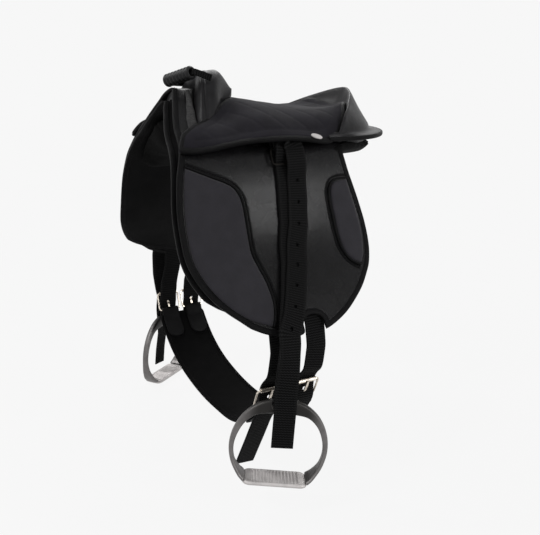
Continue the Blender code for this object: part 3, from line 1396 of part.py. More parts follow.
# Run of each stirrup strap's middle line as (height, x), and its height over the side as (arc length, offset)
NEAR_ROUTE = [(90, 19), (28, 19), (-20, 16), (-62, 5), (-124, -25), (-206, -34), (-300, -43)]
FAR_ROUTE = [(90, 19), (28, 19), (-20, 4), (-62, -16), (-124, -39), (-165, -39), (-206, -34.5), (-300, -40.1)]
NEAR_LIFTS = [(136, 5.9), (160, 5.8), (190, 5.9), (220, 6.3), (250, 7.6), (280, 9.3), (305, 9.9)]
FAR_LIFTS = [(136, 5.9), (160, 6.6), (190, 8.5), (220, 9.7), (250, 10.0), (280, 10.1), (305, 10.3)]


def build_stirrup(prefix, side, stations, lifts, turn, lean, eyeZ, tailShift, tailEnd):
    line = HangingLine(side, stations, lifts, turn, eyeZ)
    build_strap(prefix + "_stirrup_strap", line, tailShift, tailEnd)
    build_strap_buckle(prefix + "_strap_buckle", line)
    tangent, width, outward = line.frame((HEEL_T + FRONT_T) / 2)
    build_tongue(prefix + "_strap_tongue", line.place(HEEL_T, 0, HEEL_OUT), line.place(FRONT_T, 0, BUCKLE_OUT),
                 width, outward, STRAP_BUCKLE_WIRE, GAP + TONGUE_THICK / 2)
    eye = line.place(line.at_height(eyeZ), 0, 0)
    build_iron(prefix + "_stirrup_iron", eye, side, turn, lean)


def near_tail_shift(z):
    return lerp_table(z, [(-253, 1.5), (-206, 0.8), (-160, -1.4), (-127, -1.5), (-108, 3), (-66, 5.5), (-28, 9),
                          (10, 11.5), (90, 11)])


def far_tail_shift(z):
    return lerp_table(z, [(-326, 7), (-305, 10), (-272, 15), (-240, 11), (-206, 5), (-150, 3), (-66, 6), (-15, 8),
                          (90, 8)])


saddleTree = build_tree()
build_head_plate()
cover = build_cover()
build_badge()
cantle = build_cantle()
seat_against(cantle, cover)
seat_against(cantle, saddleTree)
sides = {prefix: build_side(prefix, side, saddleTree) for prefix, side in (("near", -1), ("far", 1))}
pad = build_seat_pad()
seat_against(pad, saddleTree)
seat_against(pad, cantle)
pommel = build_pommel()
for piece in (saddleTree, pad, cover, sides["near"]["flap"], sides["far"]["flap"], sides["near"]["gusset"],
              sides["far"]["gusset"]):
    seat_against(pommel, piece)
handleRoute, gripAxis, gripMiddle = build_handle()
handleStrap = build_handle_strap(handleRoute)
build_grip(gripAxis, gripMiddle)
seat_against(handleStrap, pommel)
build_stirrup("near", -1, NEAR_ROUTE, NEAR_LIFTS, NEAR_IRON_TURN, 6.0, NEAR_EYE_Z, near_tail_shift, -253.0)
build_stirrup("far", 1, FAR_ROUTE, FAR_LIFTS, FAR_IRON_TURN, 3.0, FAR_EYE_Z, far_tail_shift, -326.0)
build_girth()
for prefix, side in (("near", -1), ("far", 1)):
    for place, rear in (("front", False), ("rear", True)):
        name = f"{prefix}_{place}"
        build_girth_buckle(name, side, buckle_x(side, rear))
        build_billet(name + "_billet", side, rear)
        build_tab(name + "_tab", side, rear)
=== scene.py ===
import math

import bmesh
import bpy
import numpy as np
from mathutils import Matrix, Vector


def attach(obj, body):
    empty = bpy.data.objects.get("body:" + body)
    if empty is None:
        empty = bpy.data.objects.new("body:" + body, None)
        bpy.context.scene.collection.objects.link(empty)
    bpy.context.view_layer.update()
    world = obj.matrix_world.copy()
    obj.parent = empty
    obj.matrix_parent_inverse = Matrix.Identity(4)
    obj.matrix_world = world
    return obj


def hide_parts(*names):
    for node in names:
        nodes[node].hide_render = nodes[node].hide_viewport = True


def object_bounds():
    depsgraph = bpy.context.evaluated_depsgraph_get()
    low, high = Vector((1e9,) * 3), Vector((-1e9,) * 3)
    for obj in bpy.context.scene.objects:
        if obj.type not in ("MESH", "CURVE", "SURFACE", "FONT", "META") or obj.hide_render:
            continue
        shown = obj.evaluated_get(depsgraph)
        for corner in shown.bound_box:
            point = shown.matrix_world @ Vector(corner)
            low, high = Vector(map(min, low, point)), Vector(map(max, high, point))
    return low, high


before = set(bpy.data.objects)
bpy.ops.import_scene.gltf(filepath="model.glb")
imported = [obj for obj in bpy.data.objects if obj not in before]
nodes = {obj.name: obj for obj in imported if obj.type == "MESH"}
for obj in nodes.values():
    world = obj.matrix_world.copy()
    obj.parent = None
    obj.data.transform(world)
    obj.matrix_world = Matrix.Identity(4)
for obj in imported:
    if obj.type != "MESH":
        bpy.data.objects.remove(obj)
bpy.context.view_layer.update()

# Pony saddle, dressed for a render. Shapes are worked out in millimetres and stored in metres.
# x runs from the front arch to the cantle, the near side is -y, +z is up.
mm = 0.001


class Num:  # an output socket that takes + - * / and **, each of which adds a Math node
    def __init__(self, finish, socket):
        self.finish = finish
        self.socket = socket

    def math(self, operation, first, second=None):
        inputs = {0: first} if second is None else {0: first, 1: second}
        return self.finish.node("ShaderNodeMath", {"operation": operation}, inputs)

    def __add__(self, other):
        return self.math("ADD", self, other)

    def __radd__(self, other):
        return self.math("ADD", other, self)

    def __sub__(self, other):
        return self.math("SUBTRACT", self, other)

    def __rsub__(self, other):
        return self.math("SUBTRACT", other, self)

    def __mul__(self, other):
        return self.math("MULTIPLY", self, other)

    def __rmul__(self, other):
        return self.math("MULTIPLY", other, self)

    def __truediv__(self, other):
        return self.math("DIVIDE", self, other)

    def __pow__(self, other):
        return self.math("POWER", self, other)

    def sine(self):
        return self.math("SINE", self)

    def size(self):
        return self.math("ABSOLUTE", self)

    def over(self, other):
        return self.math("GREATER_THAN", self, other)

    def ease(self, low, high, start=0.0, end=1.0):  # smoothly from start to end between low and high
        return self.finish.node("ShaderNodeMapRange", {"interpolation_type": "SMOOTHSTEP"},
                                {0: self, 1: low, 2: high, 3: start, 4: end})


class Finish:  # one material, built up node by node
    def __init__(self, name, fixed):
        self.material = bpy.data.materials.new(name)
        self.material.use_nodes = True
        self.tree = self.material.node_tree
        self.shader = self.tree.nodes["Principled BSDF"]
        self.coordinates = None
        for label, value in fixed.items():
            self.join(value, self.shader.inputs[label])

    def node(self, kind, settings=None, inputs=None, output=0):
        # settings are set before the sockets' values or links
        made = self.tree.nodes.new(kind)
        for label, value in (settings or {}).items():
            setattr(made, label, value)
        for label, value in (inputs or {}).items():
            self.join(value, made.inputs[label])
        return Num(self, made.outputs[output])

    def join(self, value, socket):
        if isinstance(value, Num):
            self.tree.links.new(value.socket, socket)
        elif isinstance(value, tuple) and len(value) == 3 and socket.type == "RGBA":
            socket.default_value = (*value, 1.0)
        else:
            socket.default_value = value

    def place(self, scale):  # object coordinates, so many units to a millimetre
        if self.coordinates is None:
            self.coordinates = self.node("ShaderNodeTexCoord", None, None, "Object")
        factor = scale if isinstance(scale, tuple) else (scale,) * 3
        return self.node("ShaderNodeMapping", None, {"Vector": self.coordinates,
                                                     "Scale": tuple(f / mm for f in factor)})

    def onCloth(self):  # the piece's own map: across and along, in millimetres
        flat = self.node("ShaderNodeUVMap", {"uv_map": "cloth"})
        return (self.node("ShaderNodeSeparateXYZ", None, {0: flat}, "X"),
                self.node("ShaderNodeSeparateXYZ", None, {0: flat}, "Y"))

    def noise(self, scale, detail=3.0, rough=0.55):
        return self.node("ShaderNodeTexNoise", None, {"Vector": self.place(scale), "Scale": 1.0,
                                                      "Detail": detail, "Roughness": rough})

    def cells(self, scale, feature="F1"):
        return self.node("ShaderNodeTexVoronoi", {"feature": feature},
                         {"Vector": self.place(scale), "Scale": 1.0})

    def blend(self, share, first, second):  # colour between two colours
        return self.node("ShaderNodeMix", {"data_type": "RGBA"}, {0: share, 6: first, 7: second}, 2)

    def done(self, colour, roughness, height=None, depth=0.2):
        self.join(colour, self.shader.inputs["Base Color"])
        self.join(roughness, self.shader.inputs["Roughness"])
        if height is not None:
            bump = self.node("ShaderNodeBump", None, {"Height": height, "Distance": depth * mm})
            self.join(bump, self.shader.inputs["Normal"])
        return self.material


# smooth synthetic leather of flaps, pommel and cantle: fine grain, faint creases
leatherLook = {"dark": (0.0026, 0.0025, 0.0028), "pale": (0.0050, 0.0048, 0.0053), "grain": 0.95,
               "sheen": 0.18, "specular": 0.13}


def makeLeather(name, look):
    finish = Finish(name, {"Specular IOR Level": look["specular"]})
    grain = finish.cells(look["grain"], "DISTANCE_TO_EDGE")
    pits = finish.cells(look["grain"] * 2.3)
    cloud = finish.noise(0.035, 4.0)
    colour = finish.blend(cloud.ease(0.35, 0.65), look["dark"], look["pale"])
    colour = finish.blend(grain.ease(0.0, 0.09, 0.45, 0.0), colour, tuple(c * 0.45 for c in look["dark"]))
    height = grain.ease(0.0, 0.16) + pits * 0.25 + cloud * 0.8
    roughness = look["sheen"] + 0.10 * finish.noise(0.35, 2.0) + grain.ease(0.0, 0.12, 0.10, 0.0)
    return finish.done(colour, roughness, height, look.get("depth", 0.05))


# pebbled binding tape and piping
bindingLook = {"dark": (0.0016, 0.0015, 0.0017), "pale": (0.0034, 0.0033, 0.0036), "grain": 1.1,
               "sheen": 0.42, "depth": 0.12, "specular": 0.07}

# matt neoprene: fine pebbled face, faint violet cast
neopreneLook = {"dark": (0.0140, 0.0130, 0.0166), "pale": (0.0185, 0.0172, 0.0217), "pebble": 1.6,
                "sheen": 0.10, "specular": 0.15}


def makeNeoprene(name, look):
    finish = Finish(name, {"Sheen Weight": look["sheen"], "Sheen Roughness": 0.55,
                           "Specular IOR Level": look["specular"]})
    pebble = finish.cells(look["pebble"])
    cloud = finish.noise(0.06, 5.0)
    colour = finish.blend(cloud.ease(0.3, 0.7), look["dark"], look["pale"])
    colour = finish.blend(pebble.ease(0.1, 0.7, 0.0, 0.35), colour, tuple(c * 0.5 for c in look["dark"]))
    return finish.done(colour, 0.70 + 0.14 * finish.noise(1.4, 2.0), 1.0 - pebble + cloud * 0.4, 0.06)


# brushed suede-look cloth of the seat cover: short nap, lighter where it lies over
suedeLook = {"dark": (0.0058, 0.0053, 0.0071), "pale": (0.0100, 0.0092, 0.0120), "nap": 3.0}


def makeSuede(name, look):
    finish = Finish(name, {"Sheen Weight": 0.08, "Sheen Roughness": 0.42, "Specular IOR Level": 0.06})
    nap = finish.noise((look["nap"], look["nap"] * 0.6, look["nap"]), 4.0, 0.7)
    drift = finish.noise(0.045, 5.0, 0.6)
    colour = finish.blend(drift.ease(0.32, 0.68), look["dark"], look["pale"])
    colour = finish.blend(nap.ease(0.38, 0.72, 0.0, 0.35), colour, tuple(c * 1.9 for c in look["pale"]))
    return finish.done(colour, 0.86 + 0.10 * nap, nap + drift * 0.6, 0.09)


# woven tape: picks across the tape, two rows of warp between each pair, plain selvedge; its colour is painted
# pale on the ribs and near black between them, as painted highlights and painted shade
webbingLook = {"dark": (0.0006, 0.0006, 0.0006), "pale": (0.0115, 0.0115, 0.0118), "pick": 2.9,
               "warp": 1.7, "halfWide": 12.5}


def makeWebbing(name, look):
    finish = Finish(name, {"Specular IOR Level": 0.05, "Sheen Weight": 0.01})
    across, along = finish.onCloth()
    column = across / look["warp"]
    stagger = (column * math.pi).sine().over(0.0) * 0.14
    ribs = ((along / look["pick"] + stagger) * (2 * math.pi)).sine() * 0.5 + 0.5
    threads = (column * math.pi).sine().size() ** 0.5
    selvedge = across.size().ease(look["halfWide"] - 3.2, look["halfWide"] - 2.6)
    weave = (ribs * threads) * (1.0 - selvedge * 0.5) + selvedge * 0.35
    fuzz = finish.noise(1.8, 3.0)
    # painted highlights on the ribs and painted shade in the grooves between threads
    colour = finish.blend(weave.ease(0.25, 0.95), look["dark"], look["pale"])
    colour = finish.blend(fuzz.ease(0.5, 0.8, 0.0, 0.25), colour, tuple(c * 1.3 for c in look["pale"]))
    return finish.done(colour, 0.52 + 0.22 * fuzz + 0.12 * (1.0 - weave), weave + fuzz * 0.25, 0.32)


# panel lining: rough felted cloth
feltLook = {"dark": (0.0015, 0.0015, 0.0015), "pale": (0.0050, 0.0049, 0.0049), "fibre": 1.3}


def makeFelt(name, look):
    finish = Finish(name, {"Sheen Weight": 0.02, "Sheen Roughness": 0.6, "Specular IOR Level": 0.05})
    fibre = finish.noise(look["fibre"], 6.0, 0.75)
    lumps = finish.noise(0.28, 3.0)
    colour = finish.blend(fibre.ease(0.35, 0.68), look["dark"], look["pale"])
    return finish.done(colour, 0.82 + 0.12 * fibre, fibre + lumps * 0.7, 0.35)


# moulded rubber of the hand grip
rubberLook = {"dark": (0.0045, 0.0045, 0.0048), "pale": (0.0095, 0.0094, 0.0098)}


def makeRubber(name, look):
    finish = Finish(name, {"Specular IOR Level": 0.18})
    bloom = finish.noise(0.5, 4.0)
    speck = finish.noise(4.0, 2.0)
    colour = finish.blend(bloom.ease(0.3, 0.7), look["dark"], look["pale"])
    return finish.done(colour, 0.36 + 0.16 * bloom, speck + bloom * 0.5, 0.03)


# nickel plate, warm, with rubbed patches and fine pits
nickelLook = {"base": (0.66, 0.60, 0.52), "dull": (0.34, 0.30, 0.26), "rough": 0.20}


def makeNickel(name, look):
    finish = Finish(name, {"Metallic": 1.0})
    wear = finish.noise(0.22, 5.0, 0.6)
    pits = finish.cells(0.8)
    colour = finish.blend(wear.ease(0.45, 0.70), look["base"], look["dull"])
    return finish.done(colour, look["rough"] + 0.22 * wear, pits.ease(0.0, 0.35) + wear * 0.6, 0.03)


# cast alloy of the stirrup irons, blotched; on the irons the broad crown is painted dark, a painted
# reflection of the dark surroundings it faces, while the sides and the tread keep the brighter cast colour
castLook = {"base": (0.17, 0.162, 0.160), "dull": (0.10, 0.095, 0.094), "crown": (0.030, 0.029, 0.028),
            "rough": 0.33}


def makeCast(name, look, paintedCrown=False):
    finish = Finish(name, {"Metallic": look.get("metal", 1.0)})
    stain = finish.noise(0.09, 5.0, 0.62)
    skin = finish.noise(1.1, 4.0, 0.6)
    colour = finish.blend(stain.ease(0.35, 0.75, 0.0, 0.6), look["base"], look["dull"])
    colour = finish.blend(skin.ease(0.55, 0.75, 0.0, 0.3), colour, look["dull"])
    if paintedCrown:  # the arch's map runs from 0 at the middle of the crown to 1 at its feet
        down = finish.onCloth()[1]
        # painted reflection: the colour darkens towards the middle of the crown, standing in for the dark
        # surroundings it reflects
        colour = finish.blend(down.ease(0.22, 0.46), look["crown"], colour)
    return finish.done(colour, look["rough"] + 0.16 * stain + 0.10 * skin, skin + stain * 0.6, 0.05)


# moulded plastic of the tree
mouldingLook = {"dark": (0.006, 0.006, 0.0063), "pale": (0.012, 0.012, 0.0126)}


def makeMoulding(name, look):
    finish = Finish(name, {"Specular IOR Level": 0.25})
    flow = finish.noise((0.02, 0.09, 0.05), 4.0)
    spark = finish.noise(2.6, 2.0)
    colour = finish.blend(flow.ease(0.35, 0.65), look["dark"], look["pale"])
    return finish.done(colour, 0.42 + 0.14 * flow, spark + flow, 0.04)


leather = makeLeather("flapLeather", leatherLook)
# painted light: the pommel and cantle take a paler copy of the flap leather, standing in for the light they
# catch
litDomeLeather = makeLeather("litDomeLeather",
                          {**leatherLook, "dark": (0.0085, 0.0082, 0.0089), "pale": (0.0135, 0.0130, 0.0141),
                           "sheen": 0.27, "grain": 1.25, "depth": 0.03, "specular": 0.10})
darkLeather = makeLeather("sweatFlapLeather",
                          {**leatherLook, "dark": (0.0022, 0.0022, 0.0023), "pale": (0.0038, 0.0037, 0.0039),
                           "sheen": 0.56, "specular": 0.07})
binding = makeLeather("bindingTape", bindingLook)
neoprene = makeNeoprene("patchNeoprene", neopreneLook)
girthCloth = makeNeoprene("girthNeoprene",
                          {**neopreneLook, "dark": (0.0014, 0.0014, 0.0015), "pale": (0.0025, 0.0024, 0.0025),
                           "sheen": 0.0, "specular": 0.03})
suede = makeSuede("coverSuede", suedeLook)
webbing = makeWebbing("strapWebbing", webbingLook)
felt = makeFelt("panelFelt", feltLook)
pile = makeFelt("fasteningPile",
                {"dark": (0.014, 0.014, 0.015), "pale": (0.062, 0.061, 0.060), "fibre": 0.55})
rubber = makeRubber("gripRubber", rubberLook)
nickel = makeNickel("nickelPlate", nickelLook)
darkMetal = makeNickel("darkSteelFinish",
                       {"base": (0.014, 0.013, 0.012), "dull": (0.007, 0.0065, 0.006), "rough": 0.38})
cast = makeCast("castAlloy", {**castLook, "base": (0.52, 0.497, 0.49), "dull": (0.36, 0.345, 0.34),
                              "rough": 0.45, "metal": 0.65})
ironCast = makeCast("stirrupAlloy", castLook, True)
moulding = makeMoulding("treeMoulding", mouldingLook)
thread = makeWebbing("sewingThread",
                     {**webbingLook, "dark": (0.005, 0.005, 0.0055), "pale": (0.016, 0.0155, 0.0165),
                      "pick": 0.5})
print("finishes made")


def finishNodes(material, *names):  # a carried-over node keeps its mesh and takes the material
    for name in names:
        mesh = nodes[name].data
        mesh.materials.clear()
        mesh.materials.append(material)


# painted shade: the head plate takes the tree's dark moulding rather than a metal finish, so its glimpses
# under the pommel stay as dark as the shade there
finishNodes(moulding, "saddle_tree", "head_plate")
finishNodes(nickel, *[n for n in nodes if n.endswith(("_buckle", "_roller", "_tongue"))])
# the stirrup bars and the strap buckles and tongues take a very dark steel
finishNodes(darkMetal, *[n for n in nodes if n.endswith(("stirrup_bar", "strap_buckle", "strap_tongue"))])
finishNodes(cast, "seat_badge")


def smoothLine(points, steps, closed=False):  # Catmull-Rom curve: each span blends its four nearest points
    pts = np.array(points, float)
    if closed:
        pts = np.vstack([pts[-1], pts, pts[0], pts[1]])
    else:
        pts = np.vstack([2 * pts[0] - pts[1], pts, 2 * pts[-1] - pts[-2]])
    t = (np.arange(steps) / steps)[None, :, None]
    p0, p1, p2, p3 = (pts[i:len(pts) - 3 + i][:, None, :] for i in range(4))
    spans = 0.5 * (2 * p1 + (p2 - p0) * t + (2 * p0 - 5 * p1 + 4 * p2 - p3) * t ** 2
                   + (3 * p1 - p0 - 3 * p2 + p3) * t ** 3)
    line = spans.reshape(-1, pts.shape[1])
    return line if closed else np.vstack([line, pts[-2]])


def alongLine(line):  # distance run at each point
    return np.r_[0, np.cumsum(np.linalg.norm(np.diff(line, axis=0), axis=1))]


def evenly(line, step, closed=False):  # the same line with its points an even step apart
    line = np.vstack([line, line[:1]]) if closed else np.asarray(line, float)
    run = alongLine(line)
    count = max(int(round(run[-1] / step)), 4)
    at = np.linspace(0, run[-1], count + 1)
    out = np.stack([np.interp(at, run, line[:, k]) for k in range(line.shape[1])], 1)
    return out[:-1] if closed else out


# rounds off corners: each point moves to the mean of itself and its neighbours
def relax(line, passes, closed=False):
    line = np.array(line, float)
    for _ in range(passes):
        if closed:
            line = 0.5 * line + 0.25 * (np.roll(line, 1, 0) + np.roll(line, -1, 0))
        else:
            line[1:-1] = 0.5 * line[1:-1] + 0.25 * (line[2:] + line[:-2])
    return line


def ease(value, low, high):  # 0 below low, 1 above high, and 3t^2 - 2t^3 between them
    t = np.clip((np.asarray(value, float) - low) / (high - low), 0, 1)
    return t * t * (3 - 2 * t)


# smooth curve through a table, as in a cubic with slopes from the neighbours
def curveAt(value, keys, results):
    keys, results = np.asarray(keys, float), np.asarray(results, float)
    value = np.clip(value, keys[0], keys[-1])
    i = np.clip(np.searchsorted(keys, value, side="right") - 1, 0, len(keys) - 2)
    before, after = np.maximum(i - 1, 0), np.minimum(i + 2, len(keys) - 1)
    span = keys[i + 1] - keys[i]
    t = (value - keys[i]) / span
    y1, y2 = results[..., i], results[..., i + 1]
    m1 = (y2 - results[..., before]) / (keys[i + 1] - keys[before]) * span
    m2 = (results[..., after] - y1) / (keys[after] - keys[i]) * span
    return ((2 * t ** 3 - 3 * t ** 2 + 1) * y1 + (t ** 3 - 2 * t ** 2 + t) * m1
            + (3 * t ** 2 - 2 * t ** 3) * y2 + (t ** 3 - t ** 2) * m2)


# points in millimetres, faces as rows of 3 or 4
def newPiece(name, points, faces, material, cloth=None, smooth=True):
    mesh = bpy.data.meshes.new(name)
    mesh.from_pydata((np.asarray(points, float) * mm).tolist(), [],
                     [row for f in faces for row in np.asarray(f).tolist()])
    if cloth is not None:
        layer = mesh.uv_layers.new(name="cloth")
        corner = np.zeros(len(mesh.loops), np.int32)
        mesh.loops.foreach_get("vertex_index", corner)
        layer.data.foreach_set("uv", np.asarray(cloth, np.float32)[corner].ravel())
    mesh.polygons.foreach_set("use_smooth", np.full(len(mesh.polygons), smooth))
    mesh.materials.append(material)
    piece = bpy.data.objects.new(name, mesh)
    bpy.context.scene.collection.objects.link(piece)
    return piece


def settle(piece, body, slot, *stoodFor):  # rides on its body, and stands for the CAD nodes of the same place
    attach(piece, body)
    if stoodFor:
        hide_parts(*stoodFor)
    return piece


def facesOut(piece):  # turns a closed mesh right way out after its doubles are merged
    bm = bmesh.new()
    bm.from_mesh(piece.data)
    bmesh.ops.remove_doubles(bm, verts=bm.verts, dist=1e-6)
    bmesh.ops.recalc_face_normals(bm, faces=bm.faces)
    bm.to_mesh(piece.data)
    bm.free()
    return piece


def applyAll(piece):  # replaces the mesh by what its modifiers make of it
    graph = bpy.context.evaluated_depsgraph_get()
    made = bpy.data.meshes.new_from_object(piece.evaluated_get(graph))
    piece.modifiers.clear()
    old = piece.data
    piece.data = made
    bpy.data.meshes.remove(old)


def meshPoints(piece):  # in millimetres
    spots = np.zeros(len(piece.data.vertices) * 3)
    piece.data.vertices.foreach_get("co", spots)
    return spots.reshape(-1, 3) / mm


def gridFaces(rows, columns, wrapRows=False, wrapColumns=False):  # quads of a grid of points
    r = np.arange(rows if wrapRows else rows - 1)[:, None]
    c = np.arange(columns if wrapColumns else columns - 1)[None, :]
    r2, c2 = (r + 1) % rows, (c + 1) % columns
    quads = np.stack(np.broadcast_arrays(r * columns + c, r * columns + c2,
                                         r2 * columns + c2, r2 * columns + c), -1)
    return quads.reshape(-1, 4)


def sweep(name, rings, material, closedPath=False, cloth=None):
    # rings is (stations, profile points, 3): a closed profile carried along a path, its ends filled
    # round their middles
    stations, count = rings.shape[:2]
    points = rings.reshape(-1, 3)
    faces = [gridFaces(stations, count, closedPath, True)]
    if cloth is not None:
        cloth = cloth.reshape(-1, 2)
    if not closedPath:
        ends = rings[[0, -1]].mean(1)
        first = len(points)
        points = np.vstack([points, ends])
        k = np.arange(count)
        nextK = (k + 1) % count
        last = (stations - 1) * count
        faces.append(np.stack([nextK, k, np.full(count, first)], 1))
        faces.append(np.stack([last + k, last + nextK, np.full(count, first + 1)], 1))
        if cloth is not None:
            cloth = np.vstack([cloth, cloth[:count].mean(0), cloth[-count:].mean(0)])
    return facesOut(newPiece(name, points, faces, material, cloth))


def roundedSlab(wide, thick, edge=0.6, crown=0.0, count=9):
    # closed section of a strap: flat faces with count points each and half-round edges, crowned by a little
    u = np.linspace(-wide / 2 + edge, wide / 2 - edge, count)
    arch = crown * (1 - (2 * u / wide) ** 2)
    a = np.linspace(-math.pi / 2, math.pi / 2, 5)[1:-1]
    right = np.stack([wide / 2 - edge + edge * np.cos(a), thick / 2 * np.sin(a)], 1)
    left = np.stack([-wide / 2 + edge - edge * np.cos(a), -thick / 2 * np.sin(a)], 1)
    bottom = np.stack([u, -thick / 2 - arch], 1)
    top = np.stack([u[::-1], thick / 2 + arch[::-1]], 1)
    return np.vstack([bottom, right, top, left])


def bandWays(path, across):  # directions across a band and out of its face at each point of its path
    tangent = np.gradient(path, axis=0)
    tangent /= np.linalg.norm(tangent, axis=1)[:, None]
    across = across - tangent * (across * tangent).sum(1)[:, None]
    across /= np.linalg.norm(across, axis=1)[:, None]
    return across, np.cross(tangent, across)


def strapPiece(name, path, across, wide, thick, material, edge=0.6, crown=0.0, taper=None, count=9):
    # a band: the slab section carried along the path, with its flat face square to path and width
    path = np.asarray(path, float)
    across, out = bandWays(path, np.asarray(across, float))
    section = roundedSlab(wide, thick, edge, crown, count)
    stretch = np.ones(len(path)) if taper is None else np.asarray(taper, float)
    wide = across[:, None] * (section[None, :, :1] * stretch[:, None, None])
    rings = path[:, None] + wide + out[:, None] * section[None, :, 1:]
    cloth = np.stack(np.broadcast_arrays(section[None, :, 0], alongLine(path)[:, None]), -1)
    return sweep(name, rings, material, cloth=cloth.astype(float))


# Section of the saddle from the top of the front arch down the flap, as half width and height
sideProfile = [(0, 127), (13, 121), (26, 109), (50, 87), (66, 76), (80, 63), (89, 47), (96, 28), (102, 8),
               (108, -12), (115.5, -32), (124.5, -50), (135, -65), (147, -80), (161.5, -98), (175, -116),
               (183, -127), (192, -140)]
profileLine = smoothLine([(-13, 121)] + sideProfile, 12)[12:]
profileRun = alongLine(profileLine)


# half width, height and outward normal at a distance down the side from the top of the arch
def sideSection(s):
    y, z = (np.interp(s, profileRun, profileLine[:, k]) for k in (0, 1))
    dy, dz = (np.interp(s + 4, profileRun, profileLine[:, k])
              - np.interp(s - 4, profileRun, profileLine[:, k]) for k in (0, 1))
    size = np.hypot(dy, dz)
    return y, z, -dz / size, dy / size


# flat pattern point (x, distance down, height off the sheet) to space, on the near (-1) or far (1) side
def sidePlace(side):
    def place(x, s, lift):
        y, z, ny, nz = sideSection(s)
        x, y, z = np.broadcast_arrays(x, side * (y + ny * lift), z + nz * lift)
        return np.stack([x, y, z], -1)
    return place


# distance to a closed outline, the nearest point on it, and how far round that lies
def nearestOn(outline, points):
    a = outline
    b = np.roll(outline, -1, 0)
    ab = b - a
    run = alongLine(np.vstack([outline, outline[:1]]))[:-1]
    best = np.full(len(points), 1e9)
    spot = np.zeros((len(points), 2))
    at = np.zeros(len(points))
    for start in range(0, len(points), 4000):
        p = points[start:start + 4000, None, :]
        t = np.clip(((p - a) * ab).sum(-1) / np.maximum((ab * ab).sum(-1), 1e-12), 0, 1)
        q = a + ab * t[..., None]
        d = np.linalg.norm(p - q, axis=-1)
        k = d.argmin(1)
        i = np.arange(len(k))
        best[start:start + 4000] = d[i, k]
        spot[start:start + 4000] = q[i, k]
        at[start:start + 4000] = run[k] + t[i, k] * np.linalg.norm(ab, axis=1)[k]
    return best, spot, at


def insideOf(outline, points):  # even-odd rule
    a, b = outline, np.roll(outline, -1, 0)
    found = np.zeros(len(points), bool)
    for p, q in zip(a, b):
        crosses = (p[1] > points[:, 1]) != (q[1] > points[:, 1])
        with np.errstate(divide="ignore", invalid="ignore"):
            at = (q[0] - p[0]) * (points[:, 1] - p[1]) / (q[1] - p[1]) + p[0]
        found ^= crosses & (points[:, 0] < at)
    return found


def openEdges(quads, size):  # the edges of all the cells, and those that only one cell has
    edges = np.stack([quads, np.roll(quads, -1, 1)], -1).reshape(-1, 2)
    codes = edges[:, 0] * size + edges[:, 1]
    return edges, edges[~np.isin(codes, edges[:, 1] * size + edges[:, 0])]


def cutSheet(name, outline, cell, low, high, place, material):
    # A sheet cut to an outline: the cells of a square grid whose middles lie inside it are kept, the
    # points on their border slide onto the outline, and the points inside are evened out. low and high
    # give the two faces' heights from (x, s, distance to the edge), and place bends the flat sheet.
    outline = evenly(outline, cell * 0.75, True)
    lowest, highest = outline.min(0) - cell, outline.max(0) + cell
    nx, ns = (np.ceil((highest - lowest) / cell).astype(int) + 1)
    xs, ss = lowest[0] + cell * np.arange(nx), lowest[1] + cell * np.arange(ns)
    grid = np.stack(np.meshgrid(xs, ss, indexing="ij"), -1)
    middles = 0.5 * (grid[:-1, :-1] + grid[1:, 1:])
    keep = insideOf(outline, middles.reshape(-1, 2)).reshape(nx - 1, ns - 1)
    quads = gridFaces(nx, ns)[keep.ravel()][:, ::-1]
    used, quads = np.unique(quads, return_inverse=True)
    quads = quads.reshape(-1, 4)
    flat = grid.reshape(-1, 2)[used]
    size = len(flat)
    edges, border = openEdges(quads, size)
    rim = np.unique(border)
    distance, spot, at = nearestOn(outline, flat)
    flat[rim] = spot[rim]
    inner = np.ones(size, bool)
    inner[rim] = False
    for _ in range(6):
        total = np.zeros_like(flat)
        count = np.zeros(size)
        np.add.at(total, edges[:, 0], flat[edges[:, 1]])
        np.add.at(count, edges[:, 0], 1)
        flat[inner] = 0.5 * flat[inner] + 0.5 * (total / count[:, None])[inner]
    distance, spot, at = nearestOn(outline, flat)
    x, s = flat.T
    top = place(x, s, high(x, s, distance))
    bottom = place(x, s, low(x, s, distance))
    rimFaces = np.stack([border[:, 1], border[:, 0], border[:, 0] + size, border[:, 1] + size], 1)
    cloth = np.stack([distance, at], 1)
    faces = [quads, quads[:, ::-1] + size, rimFaces]
    return facesOut(newPiece(name, np.vstack([top, bottom]), faces, material, np.vstack([cloth, cloth])))


def lineFrame(line, closed=False):  # flat line's inward normal at each point, to the left as it runs
    step = (np.roll(line, -1, 0) - np.roll(line, 1, 0)) if closed else np.gradient(line, axis=0)
    step /= np.linalg.norm(step, axis=1)[:, None]
    return np.stack([-step[:, 1], step[:, 0]], 1)


def trim(name, line, section, place, material, closed=False):
    # Binding, piping or welt: a closed section of (inward, lift) pairs carried along a line of the flat
    # pattern
    inward = lineFrame(line, closed)
    section = np.asarray(section, float)
    x = line[:, None, 0] + inward[:, None, 0] * section[None, :, 0]
    s = line[:, None, 1] + inward[:, None, 1] * section[None, :, 0]
    rings = place(x, s, np.broadcast_to(section[None, :, 1], x.shape))
    run = alongLine(np.vstack([line, line[:1]]))[:-1] if closed else alongLine(line)
    around = alongLine(np.vstack([section, section[:1]]))[:-1]
    cloth = np.stack(np.broadcast_arrays(around[None, :], run[:, None]), -1).astype(float)
    return sweep(name, rings, material, closed, cloth)


